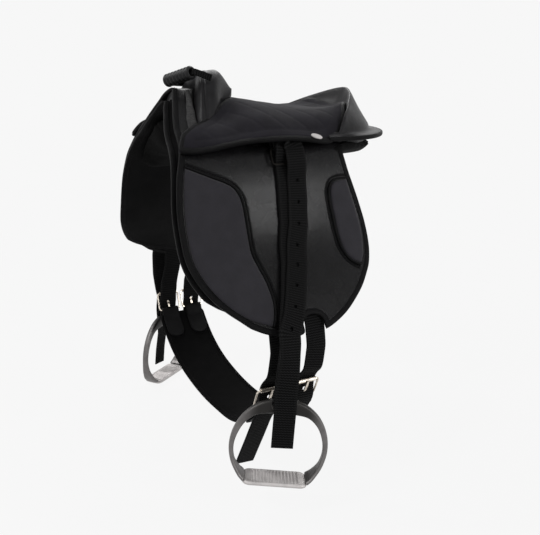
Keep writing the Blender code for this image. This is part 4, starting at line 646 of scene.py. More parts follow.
def stitches(name, line, place, lift, look, closed=False):
    # A row of thread: each stitch is a bead, long along the seam, sunk to half its height
    long, wide, high, pitch = look["long"], look["wide"], look["high"], look["pitch"]
    line = evenly(line, pitch, closed)
    inward = lineFrame(line, closed)
    along = np.stack([inward[:, 1], -inward[:, 0]], 1)
    u = np.linspace(-1, 1, 5)
    fat = np.sqrt(np.clip(1 - (0.94 * u) ** 4, 0, 1))
    a = np.linspace(0, 2 * math.pi, 6, endpoint=False)
    du = np.broadcast_to((u * long / 2)[:, None], (5, 6))
    dw = fat[:, None] * np.cos(a)[None] * wide / 2
    dh = fat[:, None] * np.sin(a)[None] * high
    x = line[:, 0, None, None] + along[:, 0, None, None] * du + inward[:, 0, None, None] * dw
    s = line[:, 1, None, None] + along[:, 1, None, None] * du + inward[:, 1, None, None] * dw
    points = place(x, s, lift + dh[None])
    count = len(line)
    one = gridFaces(5, 6, False, True)
    ends = np.array([[0, 1, 2, 3], [0, 3, 4, 5], [27, 26, 25, 24], [29, 28, 27, 24]])
    faces = [np.vstack([one, ends])[None] + (np.arange(count) * 30)[:, None, None]]
    cloth = np.stack(np.broadcast_arrays(dw[None], du[None] + np.zeros((count, 1, 1))), -1).reshape(-1, 2)
    return facesOut(newPiece(name, points.reshape(-1, 3), [faces[0].reshape(-1, 4)], thread, cloth))


def together(name, pieces):  # joins pieces that share a job into one mesh
    with bpy.context.temp_override(active_object=pieces[0], object=pieces[0], selected_objects=pieces,
                                   selected_editable_objects=pieces):
        bpy.ops.object.join()
    pieces[0].name = name
    return pieces[0]


def roundedOblong(across, along, radius):  # outline round its middle, across and along are half sizes
    q = np.linspace(0, math.pi / 2, 7)
    one = np.stack([across - radius + radius * np.cos(q), along - radius + radius * np.sin(q)], 1)
    return np.vstack([one, (one * [-1, 1])[::-1], -one, (one * [1, -1])[::-1]])


def ovalSection(inner, outer, low, high, count=12, power=0.7):
    # closed rounded section between two distances inward and two heights
    a = np.linspace(0, 2 * math.pi, count, endpoint=False)
    c, s = np.cos(a), np.sin(a)
    c, s = np.sign(c) * abs(c) ** power, np.sign(s) * abs(s) ** power
    return np.stack([(inner + outer) / 2 + (outer - inner) / 2 * c,
                     (low + high) / 2 + (high - low) / 2 * s], 1)


# Front edge of the whole side, from the top of the arch to the flap's lower edge: x at each distance down
frontKeys = [0, 14, 29, 47, 66, 86, 110, 131, 164, 200, 225, 243, 258, 274, 288, 300, 310]
frontX = [-89, -94, -98, -103, -107, -109.5, -112.5, -116, -120.5, -121, -119.5, -115, -109, -100,
          -88.5, -76, -64]


def frontEdge(s):
    return curveAt(s, frontKeys, frontX)


def edgeLine(low, high, count, shift):  # the front edge between two distances down, moved back by shift
    s = np.linspace(low, high, count)
    return np.stack([frontEdge(s) + shift(s), s], 1)


# flaps: lower and rear outline as (x, distance down), the arch cut for the girth straps, and the strip
# up to the front arch
flapShape = {"thick": 3.2, "strip": 34.0, "notchX": 13.0, "notchTop": 306.0, "notchWide": 29.0,
             "notchHigh": 11.0, "notchFoot": 326.5, "cell": 2.6, "bindingWide": 6.4, "bindingProud": 0.75,
             "sweatThick": 2.5, "sweatStrip": 26.0}
flapLower = [(-64, 310), (-48, 319), (-30, 325), (-8, 328)]
flapRear = [(28, 326), (43, 320), (60, 310.5), (76, 298), (91, 284), (102, 270.5), (113, 254), (121, 230),
            (122, 204), (118, 179), (112.5, 157), (108, 140), (105, 122), (104, 108)]
seam = {"long": 2.3, "wide": 0.62, "high": 0.34, "pitch": 3.3}


def flapShift(s):  # the flap's front edge lies a little behind the sweat flap's
    return 7.0 - 5.0 * ease(s, 90, 135)


def notchArch():  # half an ellipse over the girth straps, with a foot on each side at the lower edge
    half, high, foot = flapShape["notchWide"] / 2, flapShape["notchHigh"], flapShape["notchFoot"]
    a = np.linspace(math.pi, 0, 21)
    arch = np.stack([flapShape["notchX"] + half * np.cos(a),
                     flapShape["notchTop"] + high - high * np.sin(a)], 1)
    return np.vstack([[(arch[0, 0], foot)], arch, [(arch[-1, 0], foot)]])


def flapEdge():  # the free edge, from the top of the arch down the front, round below and up the rear
    front = edgeLine(1.5, 300, 60, flapShift)
    lower = smoothLine(flapLower, 6)
    rear = smoothLine(flapRear, 6)
    return np.vstack([front, lower, notchArch(), rear])


def flapOutline():  # the free edge, the top with room for the stirrup bar, and the strip's rear edge
    top = [(104, 98), (62, 98), (60, 88), (52, 88), (52, 100), (-14, 100), (-14, 88)]
    s = np.linspace(88, 1.5, 30)
    back = np.stack([frontEdge(s) + flapShape["strip"], s], 1)
    return np.vstack([flapEdge(), top, back])


kneeBorder = [(-103.5, 119), (-79, 130), (-53, 142), (-43, 154), (-39, 170), (-38, 200), (-38, 224),
              (-34, 243), (-30, 262), (-29, 285), (-33, 303), (-38, 314)]
rearBorder = [(103, 146), (92, 146.5), (82, 149), (76.5, 158), (75.5, 172), (77, 190), (78.5, 214), (81, 236),
              (88, 250), (99, 258)]
patchShape = {"thick": 2.0, "gap": 0.3, "roll": 3.0, "crown": 0.7, "rearCrown": 0.3, "crownRun": 28.0,
              "cell": 2.6, "fromPiping": 2.1}
pipingShape = {"wide": 3.0, "high": 2.5, "ridgeOut": 3.9, "ridgeWide": 2.2, "ridgeHigh": 0.75}


def beside(line, distance, closed=False):  # a line moved to its left
    return line + distance * lineFrame(line, closed)


def flatHeight(height):  # the same height all over a sheet
    return lambda x, s, d: height + 0.0 * d


def tapeLine(edge, passes=4, closed=False):  # an edge with its corners eased, for the tape that binds it
    return evenly(relax(evenly(edge, 1.5, closed), passes, closed), 2.4, closed)[::-1]


def pipingLine(border):  # smoothed, with its bends eased
    return evenly(relax(smoothLine(border, 6), 3), 2.2)


def patchHeight(low, high, crown):  # flat in the middle, rolled down to a third of its thickness at the edge
    rolled, least = patchShape["roll"], 0.35

    def height(x, s, d):
        turn = np.sqrt(1 - (1 - np.clip(d / rolled, 0, 1)) ** 2)
        share = least + (1 - least) * turn
        return low + (high - low) * share + crown * ease(d, rolled, patchShape["crownRun"])
    return height


def kneeOutline():  # along the piping, round the lower end and up beside the flap's front edge
    border = beside(smoothLine(kneeBorder, 4), patchShape["fromPiping"])
    s = np.linspace(290, 124, 40)
    front = np.stack([frontEdge(s) + flapShift(s) + 7.6, s], 1)
    return np.vstack([border, [(-52, 307), (-64, 301), (-76, 291)], front])


def rearOutline():  # along the piping and back beside the flap's rear edge
    border = beside(smoothLine(rearBorder, 4), -patchShape["fromPiping"])
    rear = smoothLine([(108, 244), (113, 226), (114, 204), (110, 180), (106, 162)], 4)
    return np.vstack([border, rear])


# a corded welt with a pressed ridge on each side of it; its rows of thread are made by sewnOn
def pipedBorder(name, side, border):
    look, place = pipingShape, sidePlace(side)
    line = pipingLine(border)
    base = flapShape["thick"]
    cordPart = trim(name, line, ovalSection(-look["wide"] / 2, look["wide"] / 2, base - 0.4,
                                            base + look["high"], 12, 0.85), place, binding)
    parts = [cordPart]
    for out in (-look["ridgeOut"], look["ridgeOut"]):
        flank = beside(line, out)
        parts.append(trim(name + "Ridge", flank,
                          ovalSection(-look["ridgeWide"] / 2, look["ridgeWide"] / 2, base - 0.5,
                                      base + look["ridgeHigh"], 10, 0.8), place, binding))
    return parts


def sewnOn(name, side, border, outs):  # rows of thread beside a piping, each (distance to its left, height)
    place = sidePlace(side)
    line = pipingLine(border)
    base = flapShape["thick"]
    return [stitches(name, beside(line, out), place, base + lift, seam) for out, lift in outs]


def buildSide(word, side):
    # a flap with its patches, pipings and binding, the fastening strip, and the sweat flap under it
    place, thick = sidePlace(side), flapShape["thick"]
    flap = cutSheet(word + "FlapLeather", flapOutline(), flapShape["cell"], flatHeight(0.0),
                    lambda x, s, d: thick - 0.9 * (1 - ease(d, 0, 2.4)), place, leather)
    settle(flap, "saddle", "smooth_leather", word + "_flap")
    edge = tapeLine(flapEdge())
    wide, proud = flapShape["bindingWide"], flapShape["bindingProud"]
    tape = trim(word + "FlapBinding", edge, ovalSection(-0.7, wide, -proud, thick + proud, 16, 0.55), place,
                binding)
    settle(tape, "saddle", "smooth_leather")
    rows = [stitches(word + "FlapStitches", beside(edge, wide - 1.3), place, thick + proud * 0.86, seam)]
    rows.append(stitches(word + "FlapStitches", beside(edge, wide - 1.3), place, -proud * 0.86, seam))

    low, high = thick + patchShape["gap"], thick + patchShape["gap"] + patchShape["thick"]
    knee = cutSheet(word + "KneeNeoprene", kneeOutline(), patchShape["cell"], flatHeight(low),
                    patchHeight(low, high, patchShape["crown"]), place, neoprene)
    settle(knee, "saddle", "matt_neoprene", word + "_knee_patch")
    rear = cutSheet(word + "RearNeoprene", rearOutline(), patchShape["cell"], flatHeight(low),
                    patchHeight(low, high, patchShape["rearCrown"]), place, neoprene)
    settle(rear, "saddle", "matt_neoprene", word + "_rear_patch")
    for patch, border in (("Knee", kneeBorder), ("Rear", rearBorder)):
        welt = together(word + patch + "Welt", pipedBorder(word + patch + "Welt", side, border))
        settle(welt, "saddle", "smooth_leather", word + "_" + patch.lower() + "_piping")
    rows += sewnOn(word + "PatchStitches", side, kneeBorder, [(-2.35, 0.5), (2.35, 0.5), (-5.6, 0.05)])
    rows += sewnOn(word + "PatchStitches", side, rearBorder, [(-2.35, 0.5), (2.35, 0.5), (5.6, 0.05)])

    s = np.linspace(7, 72, 24)
    ahead = frontEdge(s) + flapShift(s) + 16.0
    behind = ahead + 12.0 * (0.45 + 0.55 * ease(s, 10, 60))
    # the fastening strip's cut edge is a little uneven
    ragged = 0.5 * np.sin(s * 1.9) + 0.35 * np.sin(s * 4.3)
    fastening = np.vstack([np.stack([ahead + ragged * 0.6, s], 1), np.stack([behind + ragged, s], 1)[::-1]])
    strip = cutSheet(word + "FasteningStrip", fastening, 1.6, flatHeight(thick + 0.3),
                     patchHeight(thick + 0.3, thick + 2.2, 0.0), place, pile)
    settle(strip, "saddle", "matt_neoprene", word + "_front_patch")

    under = cutSheet(word + "SweatFlapLeather", sweatOutline(), flapShape["cell"],
                     lambda x, s, d: sweatOffset(s) - flapShape["sweatThick"],
                     lambda x, s, d: sweatOffset(s) - 0.7 * (1 - ease(d, 0, 2.4)), place, darkLeather)
    settle(under, "saddle", "smooth_leather", word + "_sweat_flap")
    edge = tapeLine(sweatEdge())

    def sweatPlace(x, s, lift):  # lift is measured from the sweat flap's outer face
        return place(x, s, sweatOffset(s) + lift)
    tape = trim(word + "SweatFlapBinding", edge, ovalSection(-0.7, 6.0, -3.2, 0.7, 16, 0.55), sweatPlace,
                binding)
    settle(tape, "saddle", "smooth_leather")
    rows.append(stitches(word + "SweatStitches", beside(edge, 4.8), sweatPlace, 0.6, seam))
    settle(together(word + "SideStitching", rows), "saddle", "smooth_leather")


# outer face of the sweat flap: below the tree at the top, below the girth straps further down
def sweatOffset(s):
    return -np.interp(s, [0, 104, 130, 152], [9.9, 9.9, 7.1, 6.0])


def sweatEdge():  # the free edge, from the arch down the front, round below and up the rear
    front = edgeLine(9, 268, 50, lambda s: -1.0 + 0.0 * s)
    lower = smoothLine([(-92, 279), (-70, 292), (-42, 303), (-8, 309), (30, 307), (60, 295), (84, 277)], 6)
    rear = smoothLine([(102, 254), (112, 228), (113, 200), (108, 172), (101, 148), (97, 128)], 6)
    return np.vstack([front, lower, rear])


def sweatOutline():  # the free edge, the top, and the strip's rear edge beside the arch
    s = np.linspace(100, 9, 24)
    back = np.stack([frontEdge(s) + flapShape["sweatStrip"], s], 1)
    return np.vstack([sweatEdge(), [(97, 126), (-62, 126), (-72, 112)], back])


for word, side in (("near", -1), ("far", 1)):
    buildSide(word, side)
print("flaps made")


# seat: height of the cover's top face at stations along x, over these half widths
seatWidths = [0, 25, 50, 75, 100]
seatStations = [-112, -55, -5, 45, 88, 118, 150]
seatHeights = [(134, 119, 103, 83.5, 55), (125, 114, 98, 88, 74), (118, 115.5, 108, 98, 80),
               (110, 109, 105, 95, 78), (104, 104.5, 103.5, 94, 66), (102.5, 104, 106, 90, 50),
               (107.5, 112, 116, 92, 40)]
gridX, gridY = np.arange(-116, 152.0), np.arange(0, 116.0)
perStation = [curveAt(gridY, [-25] + seatWidths + [125], np.array([h[1], *h, 2 * h[-1] - h[-2]], float))
              for h in seatHeights]
seatTable = np.stack([curveAt(gridX, seatStations, np.array(column, float))
                      for column in np.array(perStation).T], 1)


def seatHeight(x, y):  # bilinear between the table's points, which lie 1 mm apart
    u = np.clip(x - gridX[0], 0, len(gridX) - 1.001)
    v = np.clip(np.abs(y), 0, len(gridY) - 1.001)
    i, j = u.astype(int), v.astype(int)
    u, v = u - i, v - j
    return ((1 - u) * (1 - v) * seatTable[i, j] + u * (1 - v) * seatTable[i + 1, j]
            + (1 - u) * v * seatTable[i, j + 1] + u * v * seatTable[i + 1, j + 1])


def seatPlace(x, y, lift):  # lifts a point off the seat's face, square to it
    x, y, lift = np.broadcast_arrays(np.asarray(x, float), y, lift)
    h = 2.5
    slopeX = (seatHeight(x + h, y) - seatHeight(x - h, y)) / (2 * h)
    slopeY = (seatHeight(x, y + h) - seatHeight(x, y - h)) / (2 * h)
    size = np.sqrt(slopeX ** 2 + slopeY ** 2 + 1)
    return np.stack([x - slopeX / size * lift, y - slopeY / size * lift, seatHeight(x, y) + lift / size], -1)


coverShape = {"thick": 5.0, "cell": 2.2, "tape": 5.2, "border": 12.5, "quiltPitch": 25.0,
              "quiltSlope": 0.62, "edgeDrop": 1.9, "puff": 0.9, "pressure": 4.0, "frames": 20}


# half of the edge, from the middle of the front round to the middle of the rear, then mirrored
def coverEdge():
    front = smoothLine([(-8, 0), (-9.5, 5), (-16, 14), (-30, 26), (-53, 45), (-76, 59), (-99, 74)], 6)
    hem = smoothLine([(-109, 89), (-88, 95), (-60, 99.5), (-25, 102), (5, 103), (40, 103), (68, 101),
                      (86, 96), (100, 88)], 6)
    rear = smoothLine([(110, 79), (120, 67), (127, 55), (136, 40), (142, 22), (145, 0)], 6)
    half = np.vstack([front, hem, rear])
    return np.vstack([half, (half * [1, -1])[-2:0:-1]])


def quiltGap(x, y):  # distance to the nearest of two sets of slanted sewing lines
    pitch, slope = coverShape["quiltPitch"], coverShape["quiltSlope"]
    size = math.hypot(1, slope)
    first = (x + slope * y) / size / pitch
    second = (x - slope * y) / size / pitch
    return np.minimum(abs(first - np.round(first)), abs(second - np.round(second))) * pitch


def inflate(piece, held, frames, pressure, limit):
    # Cloth with pressure, its held points pinned; each point then moves at most the limit from where it
    # started
    count = len(piece.data.vertices)
    rest = np.zeros(count * 3)
    piece.data.vertices.foreach_get("co", rest)
    rest = rest.reshape(-1, 3)
    pins = piece.vertex_groups.new(name="pins")
    pins.add(np.flatnonzero(held).tolist(), 1.0, "REPLACE")
    cloth = piece.modifiers.new("Cloth", "CLOTH")
    settings = cloth.settings
    settings.quality = 4
    settings.mass = 0.3
    settings.tension_stiffness = settings.compression_stiffness = 6
    settings.shear_stiffness = 4
    settings.bending_stiffness = 0.3
    settings.vertex_group_mass = "pins"
    settings.use_pressure = True
    settings.uniform_pressure_force = pressure
    settings.effector_weights.gravity = 0.0
    cloth.collision_settings.use_collision = False
    scene = bpy.context.scene
    for frameNumber in range(1, frames + 1):
        scene.frame_set(frameNumber)
    graph = bpy.context.evaluated_depsgraph_get()
    swollen = np.zeros(count * 3)
    piece.evaluated_get(graph).data.vertices.foreach_get("co", swollen)
    piece.modifiers.remove(cloth)
    piece.vertex_groups.remove(pins)
    scene.frame_set(1)
    move = swollen.reshape(-1, 3) - rest
    size = np.linalg.norm(move, axis=1)
    move *= (np.minimum(size, limit * mm) / np.maximum(size, 1e-9))[:, None]
    piece.data.vertices.foreach_set("co", (rest + move).ravel())
    piece.data.update()


def buildCover():  # its face dips along the sewing lines and near its edge, and the cushions between swell
    look = coverShape
    outline = coverEdge()
    deep = look["thick"]

    def topFace(x, y, d):
        gap = quiltGap(x, y)
        inside = ease(d, look["border"] - 1, look["border"] + 3)
        pressed = 0.45 * np.exp(-(gap / 1.5) ** 2) * inside + 0.6 * np.exp(-((d - look["border"]) / 1.3) ** 2)
        soft = 0.0
        return -look["edgeDrop"] * (1 - ease(d, 0, 4)) - pressed + soft
    piece = cutSheet("seatCoverQuilt", outline, look["cell"], flatHeight(-deep), topFace, seatPlace, suede)
    x, y, z = meshPoints(piece).T
    distance = nearestOn(evenly(outline, 1.6, True), np.stack([x, y], 1))[0]
    below = z < seatPlace(x, y, -deep * 0.6)[:, 2]
    held = below | (distance < look["border"] + 1.2) | (quiltGap(x, y) < 1.6)
    inflate(piece, held, look["frames"], look["pressure"], look["puff"])
    settle(piece, "saddle", "quilted_cover", "seat_cover", "seat_pad")
    edge = tapeLine(outline, 6, True)
    tape = trim("seatCoverBinding", edge, ovalSection(-0.9, look["tape"], -deep - 0.6, -0.1, 16, 0.6),
                seatPlace, binding, True)
    settle(tape, "saddle", "smooth_leather")
    rows = [stitches("coverStitches", beside(edge, look["tape"] + 0.6, True), seatPlace, -0.75, seam, True),
            stitches("coverStitches", beside(edge, look["border"], True), seatPlace, -0.7, seam, True)]
    settle(together("seatCoverStitching", rows), "saddle", "quilted_cover")


buildCover()
print("seat cover made")


# pommel: a padded dome, each section in a plane through a line along x at its base
pommelShape = {"top": 151.0, "base": 88.0, "rollWide": 9.0, "rollHigh": 1.5, "seamDeep": 1.6}


def mirroredCurve(value, keys, results):  # a table that is the same on both sides of zero
    return curveAt(np.abs(value), [-keys[1]] + list(keys), np.array([results[1]] + list(results), float))


def buildPommel():
    look = pommelShape
    angle = np.linspace(-101, 101, 91)
    spread = np.radians(angle)
    outer = mirroredCurve(angle, [0, 20, 38, 60, 80, 100], [look["top"] - look["base"], 59, 53, 48, 52, 61])
    y = np.abs(outer * np.sin(spread))
    front = -53.0 - 0.32 * y
    rear = mirroredCurve(y, [0, 12, 26, 45, 59, 70], [-5, -9, -19, -40, -62, -82])
    inner = mirroredCurve(angle, [0, 25, 45, 70, 100], [33, 24, 24, 33, 55])
    t = np.linspace(math.pi, 0, 61)
    c, s = np.cos(t), np.sin(t)
    along = np.sign(c) * np.where(c < 0, np.abs(c) ** 0.55, np.abs(c))
    x = (front + rear)[:, None] / 2 + (rear - front)[:, None] / 2 * along[None]
    # it drops to the seat steeply behind the middle, more gently down the sides
    fall = np.where(c[None] < 0, 0.8, 3.0 - 2.1 * ease(np.abs(angle), 15, 58)[:, None])
    lift = 0.25 + 0.75 * np.maximum(s[None], 1e-6) ** fall
    radius = inner[:, None] + (outer - inner)[:, None] * lift
    fromFront = x - front[:, None]
    rim = ease(lift, 0.62, 0.92)
    roll = look["rollHigh"] * np.sin(math.pi * np.clip(fromFront / look["rollWide"], 0, 1)) ** 0.8
    groove = -look["seamDeep"] * np.exp(-((fromFront - look["rollWide"] - 0.8) / 1.5) ** 2)
    second = -0.6 * look["seamDeep"] * np.exp(-((fromFront - look["rollWide"] - 7.5) / 3.2) ** 2)
    radius = radius + (roll + groove + second) * rim
    x = np.concatenate([front[:, None], x, rear[:, None]], 1)
    radius = np.concatenate([inner[:, None], radius, inner[:, None]], 1)
    rings = np.stack([x, radius * np.sin(spread)[:, None],
                      look["base"] + radius * np.cos(spread)[:, None]], -1)
    piece = sweep("pommelDome", rings, litDomeLeather)
    settle(piece, "saddle", "smooth_leather", "pommel")


buildPommel()


# cantle: sections square to an arc round its centre, from the seat over the rim to the brim
cantleShape = {"centre": 98.0, "floor": 69.3, "brimThick": 5.5, "brimReach": 105.0}


def seatEdgeRadius(angle):  # distance from the cantle's centre to the cover's edge
    return mirroredCurve(angle, [0, 30, 57, 74, 88, 90], [47, 50, 60, 73, 86, 88])


def cantleRings():  # each station's centre and angle, and its section as corners of (radius, height)
    look = cantleShape
    arc = np.linspace(90, -90, 121)
    angle = np.concatenate([np.full(9, 90.0), arc, np.full(9, -90.0)])
    centre = np.concatenate([look["centre"] - np.linspace(18, 2, 9), np.full(121, look["centre"]),
                             look["centre"] - np.linspace(2, 18, 9)])
    a = np.abs(angle)
    fade = ease(look["centre"] - centre, 0, 50)
    rimR = mirroredCurve(a, [0, 21, 53, 75, 81, 90], [65, 62, 64, 76, 81, 89])
    rimZ = mirroredCurve(a, [0, 21, 53, 70, 81, 90], [127, 123.5, 113, 105, 97, 79]) - 2 * fade
    baseR = mirroredCurve(a, [0, 45, 75, 90], [86, 86, 88.5, 91.5]) - 3 * fade
    baseZ = mirroredCurve(a, [0, 50, 80, 90], [85, 83.5, 79, 76.5]) - fade
    brimR = mirroredCurve(a, [0, 60, 90],
                          [look["brimReach"], look["brimReach"] - 1, look["brimReach"] - 9]) - 6 * fade
    edgeR = seatEdgeRadius(a) - 1.0
    innerR = edgeR - 13.0
    spread = np.radians(angle)

    def underCover(r):
        z = seatPlace(centre + r * np.cos(spread), r * np.sin(spread), -coverShape["thick"] - 0.6)[:, 2]
        return np.minimum(z, rimZ - 1.0)
    wallR = edgeR + 0.45 * np.maximum(rimR - edgeR, 1.0)
    wallZ = underCover(edgeR) + 0.30 * np.maximum(rimZ - underCover(edgeR), 1.0) + 1.0
    brimTop = look["floor"] + look["brimThick"]
    flat = np.full(len(a), 1.0)
    corners = [(innerR, underCover(innerR)), (edgeR, underCover(edgeR)), (wallR, wallZ),
               (rimR - 3.0, rimZ - 2.2), (rimR, rimZ), (rimR + 2.6, rimZ - 2.6),
               (0.5 * (rimR + baseR) + 1.0, 0.45 * rimZ + 0.55 * baseZ), (baseR, baseZ),
               (baseR + 4.0, (brimTop + 2.5) * flat), (brimR - 2.0, brimTop * flat),
               (brimR, (brimTop - 1.8) * flat)]
    for i in range(1, len(corners)):
        corners[i] = (np.maximum(corners[i][0], corners[i - 1][0] + 0.6), corners[i][1])
    corners = [(innerR, look["floor"] * flat)] + corners + [(corners[-1][0] - 0.3, look["floor"] * flat)]
    line = np.stack([np.stack(c, -1) for c in corners], 1)  # station, corner, (radius, height)
    return centre, spread, line


def buildCantle():  # the sections as smooth curves carried round the arc, and a binding along the brim
    look = cantleShape
    centre, spread, line = cantleRings()
    steps = 5
    smooth = np.stack([smoothLine(row, steps) for row in line])
    smooth[..., 1] = np.maximum(smooth[..., 1], look["floor"])
    # the seam pressed in just below the rim
    back = smooth[:, 5 * steps:10 * steps + 1]
    run = np.linspace(0, 1, back.shape[1])
    back[..., 0] -= 0.9 * np.exp(-((run - 0.10) / 0.022) ** 2)
    c, s = np.cos(spread)[:, None], np.sin(spread)[:, None]
    rings = np.stack([centre[:, None] + smooth[..., 0] * c, -smooth[..., 0] * s, smooth[..., 1]], -1)
    piece = sweep("cantleCrescent", rings, litDomeLeather)
    settle(piece, "saddle", "smooth_leather", "cantle")
    brim = line[:, -2]
    path = np.stack([centre + (brim[:, 0] - 1.2) * np.cos(spread), -(brim[:, 0] - 1.2) * np.sin(spread),
                     brim[:, 1] - 0.8], -1)
    path = relax(evenly(path, 2.5), 3)
    tangent = np.gradient(path, axis=0)
    tangent /= np.linalg.norm(tangent, axis=1)[:, None]
    up = np.array([0, 0, 1.0]) + 0 * tangent
    sideways = np.cross(tangent, up)
    section = ovalSection(-2.2, 2.2, -3.0, 2.6, 14, 0.8)
    rings = path[:, None] + sideways[:, None] * section[None, :, :1] + up[:, None] * section[None, :, 1:]
    cloth = np.stack(np.broadcast_arrays(section[None, :, 0] * 2, alongLine(path)[:, None]), -1).astype(float)
    settle(sweep("cantleBinding", rings, binding, cloth=cloth), "saddle", "smooth_leather")


buildCantle()
print("pommel and cantle made")


# panels: a cushion under each half of the tree, either side of the gullet
panelShape = {"thick": 20.0, "treeRear": 69.0, "treeThick": 6.2, "gap": 0.3, "inset": 1.4, "voxel": 4.5,
              "pressure": 4.0, "limit": 3.0, "frames": 20}


def panelRings(side, inset):
    # sections square to x: they follow the tree's side in front and lie flat under it at the rear
    look = panelShape
    x = np.concatenate([np.linspace(-101, -60, 14), np.linspace(-52, 44, 13), np.linspace(52, 176, 26)])
    rear = ease(x, 40, 112)[:, None]
    outer = np.where(x > 98, np.sqrt(np.maximum(91.0 ** 2 - np.maximum(x - 98, 0) ** 2, 900)), 90.0)[:, None]
    ends = np.minimum(ease(x, -101, -84), 1 - ease(x, 150, 183))[:, None]
    thick = look["thick"] * (0.35 + 0.65 * ends) - 2 * inset
    w = np.linspace(0, 1, 19)[None]
    s = 36 + w * 108
    crown = 0.22 + 0.78 * np.minimum(1.0, 4.2 * w * (1 - w))
    lift = sweatOffset(s) - flapShape["sweatThick"] - look["gap"] - inset
    y, z, ny, nz = sideSection(s)
    frontTop = (y + ny * lift, z + nz * lift)
    frontLow = (y + ny * (lift - thick * crown), z + nz * (lift - thick * crown))
    flatY = 23 + w * (outer - 23)
    flatTop = np.where(flatY > 80, look["treeRear"] - look["gap"],
                       look["treeRear"] - look["treeThick"] - 3 * look["gap"]) - inset
    rearLow = (flatY + (1.5 - 3.0 * w),
               look["treeRear"] - look["treeThick"] - 3 * look["gap"] - inset - thick * 0.75 * crown)
    top = [(1 - rear) * p + rear * q for p, q in zip(frontTop, (flatY, flatTop))]
    low = [(1 - rear) * p + rear * q for p, q in zip(frontLow, rearLow)]
    rings = np.concatenate([np.stack(np.broadcast_arrays(x[:, None], side * top[0], top[1]), -1),
                            np.stack(np.broadcast_arrays(x[:, None], side * low[0], low[1]), -1)[:, ::-1]], 1)
    return rings


def buildPanels():  # evened out by Remesh and swollen by Cloth, and the far one is the near one's mirror
    look = panelShape
    piece = sweep("nearPanelCushion", panelRings(-1, look["inset"]), felt)
    remesh = piece.modifiers.new("Remesh", "REMESH")
    remesh.mode = "VOXEL"
    remesh.voxel_size = look["voxel"] * mm
    applyAll(piece)
    spots = meshPoints(piece)
    high = seatHeight(spots[:, 0], spots[:, 1])
    held = spots[:, 2] > np.interp(np.abs(spots[:, 1]), profileLine[:, 0], profileLine[:, 1]) - 17.0
    held &= high > 0
    inflate(piece, held, look["frames"], look["pressure"], look["limit"])
    finer = piece.modifiers.new("Subdivision", "SUBSURF")
    finer.levels = finer.render_levels = 1
    applyAll(piece)
    piece.data.polygons.foreach_set("use_smooth", np.full(len(piece.data.polygons), True))
    settle(piece, "saddle", "panel_felt", "near_panel")
    points = meshPoints(piece) * [1, -1, 1]
    faces = [list(p.vertices)[::-1] for p in piece.data.polygons]
    other = newPiece("farPanelCushion", points, [faces], felt)
    settle(other, "saddle", "panel_felt", "far_panel")


buildPanels()
print("panels made")


# stirrup straps: one band of webbing that hangs in several plies, each at its own distance from a middle line
strapShape = {"wide": 25.0, "thick": 1.6, "hole": 4.5, "pitch": 25.0, "barDia": 5.0, "standOff": 11.0,
              "wire": 2.4, "eyeDia": 5.0, "heel": 18.0, "front": 36.0, "out": 3.75, "hang": 199.0,
              "barDown": 93.0, "touchDown": 118.0, "touchOut": 6.2}


class HangingLine:  # middle line of a stirrup strap, with its directions across and outward
    def __init__(self, side, stations, lifts, turn, eyeZ):
        self.side, self.turn, self.eyeZ = side, turn, eyeZ
        y, z, ny, nz = (float(v) for v in sideSection(strapShape["barDown"]))
        rod = np.array([y + ny * strapShape["standOff"], z + nz * strapShape["standOff"]])
        y, z, ny, nz = (float(v) for v in sideSection(strapShape["touchDown"]))
        touch = np.array([y + ny * strapShape["touchOut"], z + nz * strapShape["touchOut"]])
        line = [rod - 0.7 * (touch - rod), rod, rod + 0.5 * (touch - rod), touch]
        for s, out in lifts + [(321, 10.2)]:
            y, z, ny, nz = (float(v) for v in sideSection(float(s)))
            line.append((y + ny * out, z + nz * out))
        hang = strapShape["hang"]
        line += [(hang - 1.8, -132), (hang - 0.4, -146), (hang, -165), (hang, -215), (hang, -260),
                 (hang, -345)]
        self.line = smoothLine(line, 8)
        self.run = alongLine(self.line)
        self.run = self.run - self.run[np.argmin(np.linalg.norm(self.line - rod, axis=1))]
        self.heights = [z for z, x in stations][::-1]
        self.shift = [x for z, x in stations][::-1]

    def spot(self, t):  # the point at a distance down from the bar
        y, z = (np.interp(t, self.run, self.line[:, k]) for k in (0, 1))
        return np.stack([np.interp(z, self.heights, self.shift), self.side * y, z], -1)

    def atHeight(self, z):  # the distance down at a height
        return float(np.interp(-z, -self.line[:, 1], self.run))

    def frame(self, t):  # along, across and outward, turned to the iron's angle near the eye
        tangent = self.spot(t + 4) - self.spot(t - 4)
        tangent /= np.linalg.norm(tangent, axis=-1, keepdims=True)
        z = self.spot(t)[..., 2]
        turn = np.radians(self.turn * (1 - ease(z, self.eyeZ + 9, self.eyeZ + 62)))
        across = np.stack([np.cos(turn), self.side * np.sin(turn), 0 * turn], -1)
        across -= tangent * (across * tangent).sum(-1, keepdims=True)
        across /= np.linalg.norm(across, axis=-1, keepdims=True)
        out = np.cross(tangent, across)
        out *= np.sign(out[..., 1:2]) * self.side
        return tangent, across, out

    def place(self, t, across, out):
        wide, normal = self.frame(t)[1:]
        return self.spot(t) + wide * np.asarray(across)[..., None] + normal * np.asarray(out)[..., None]


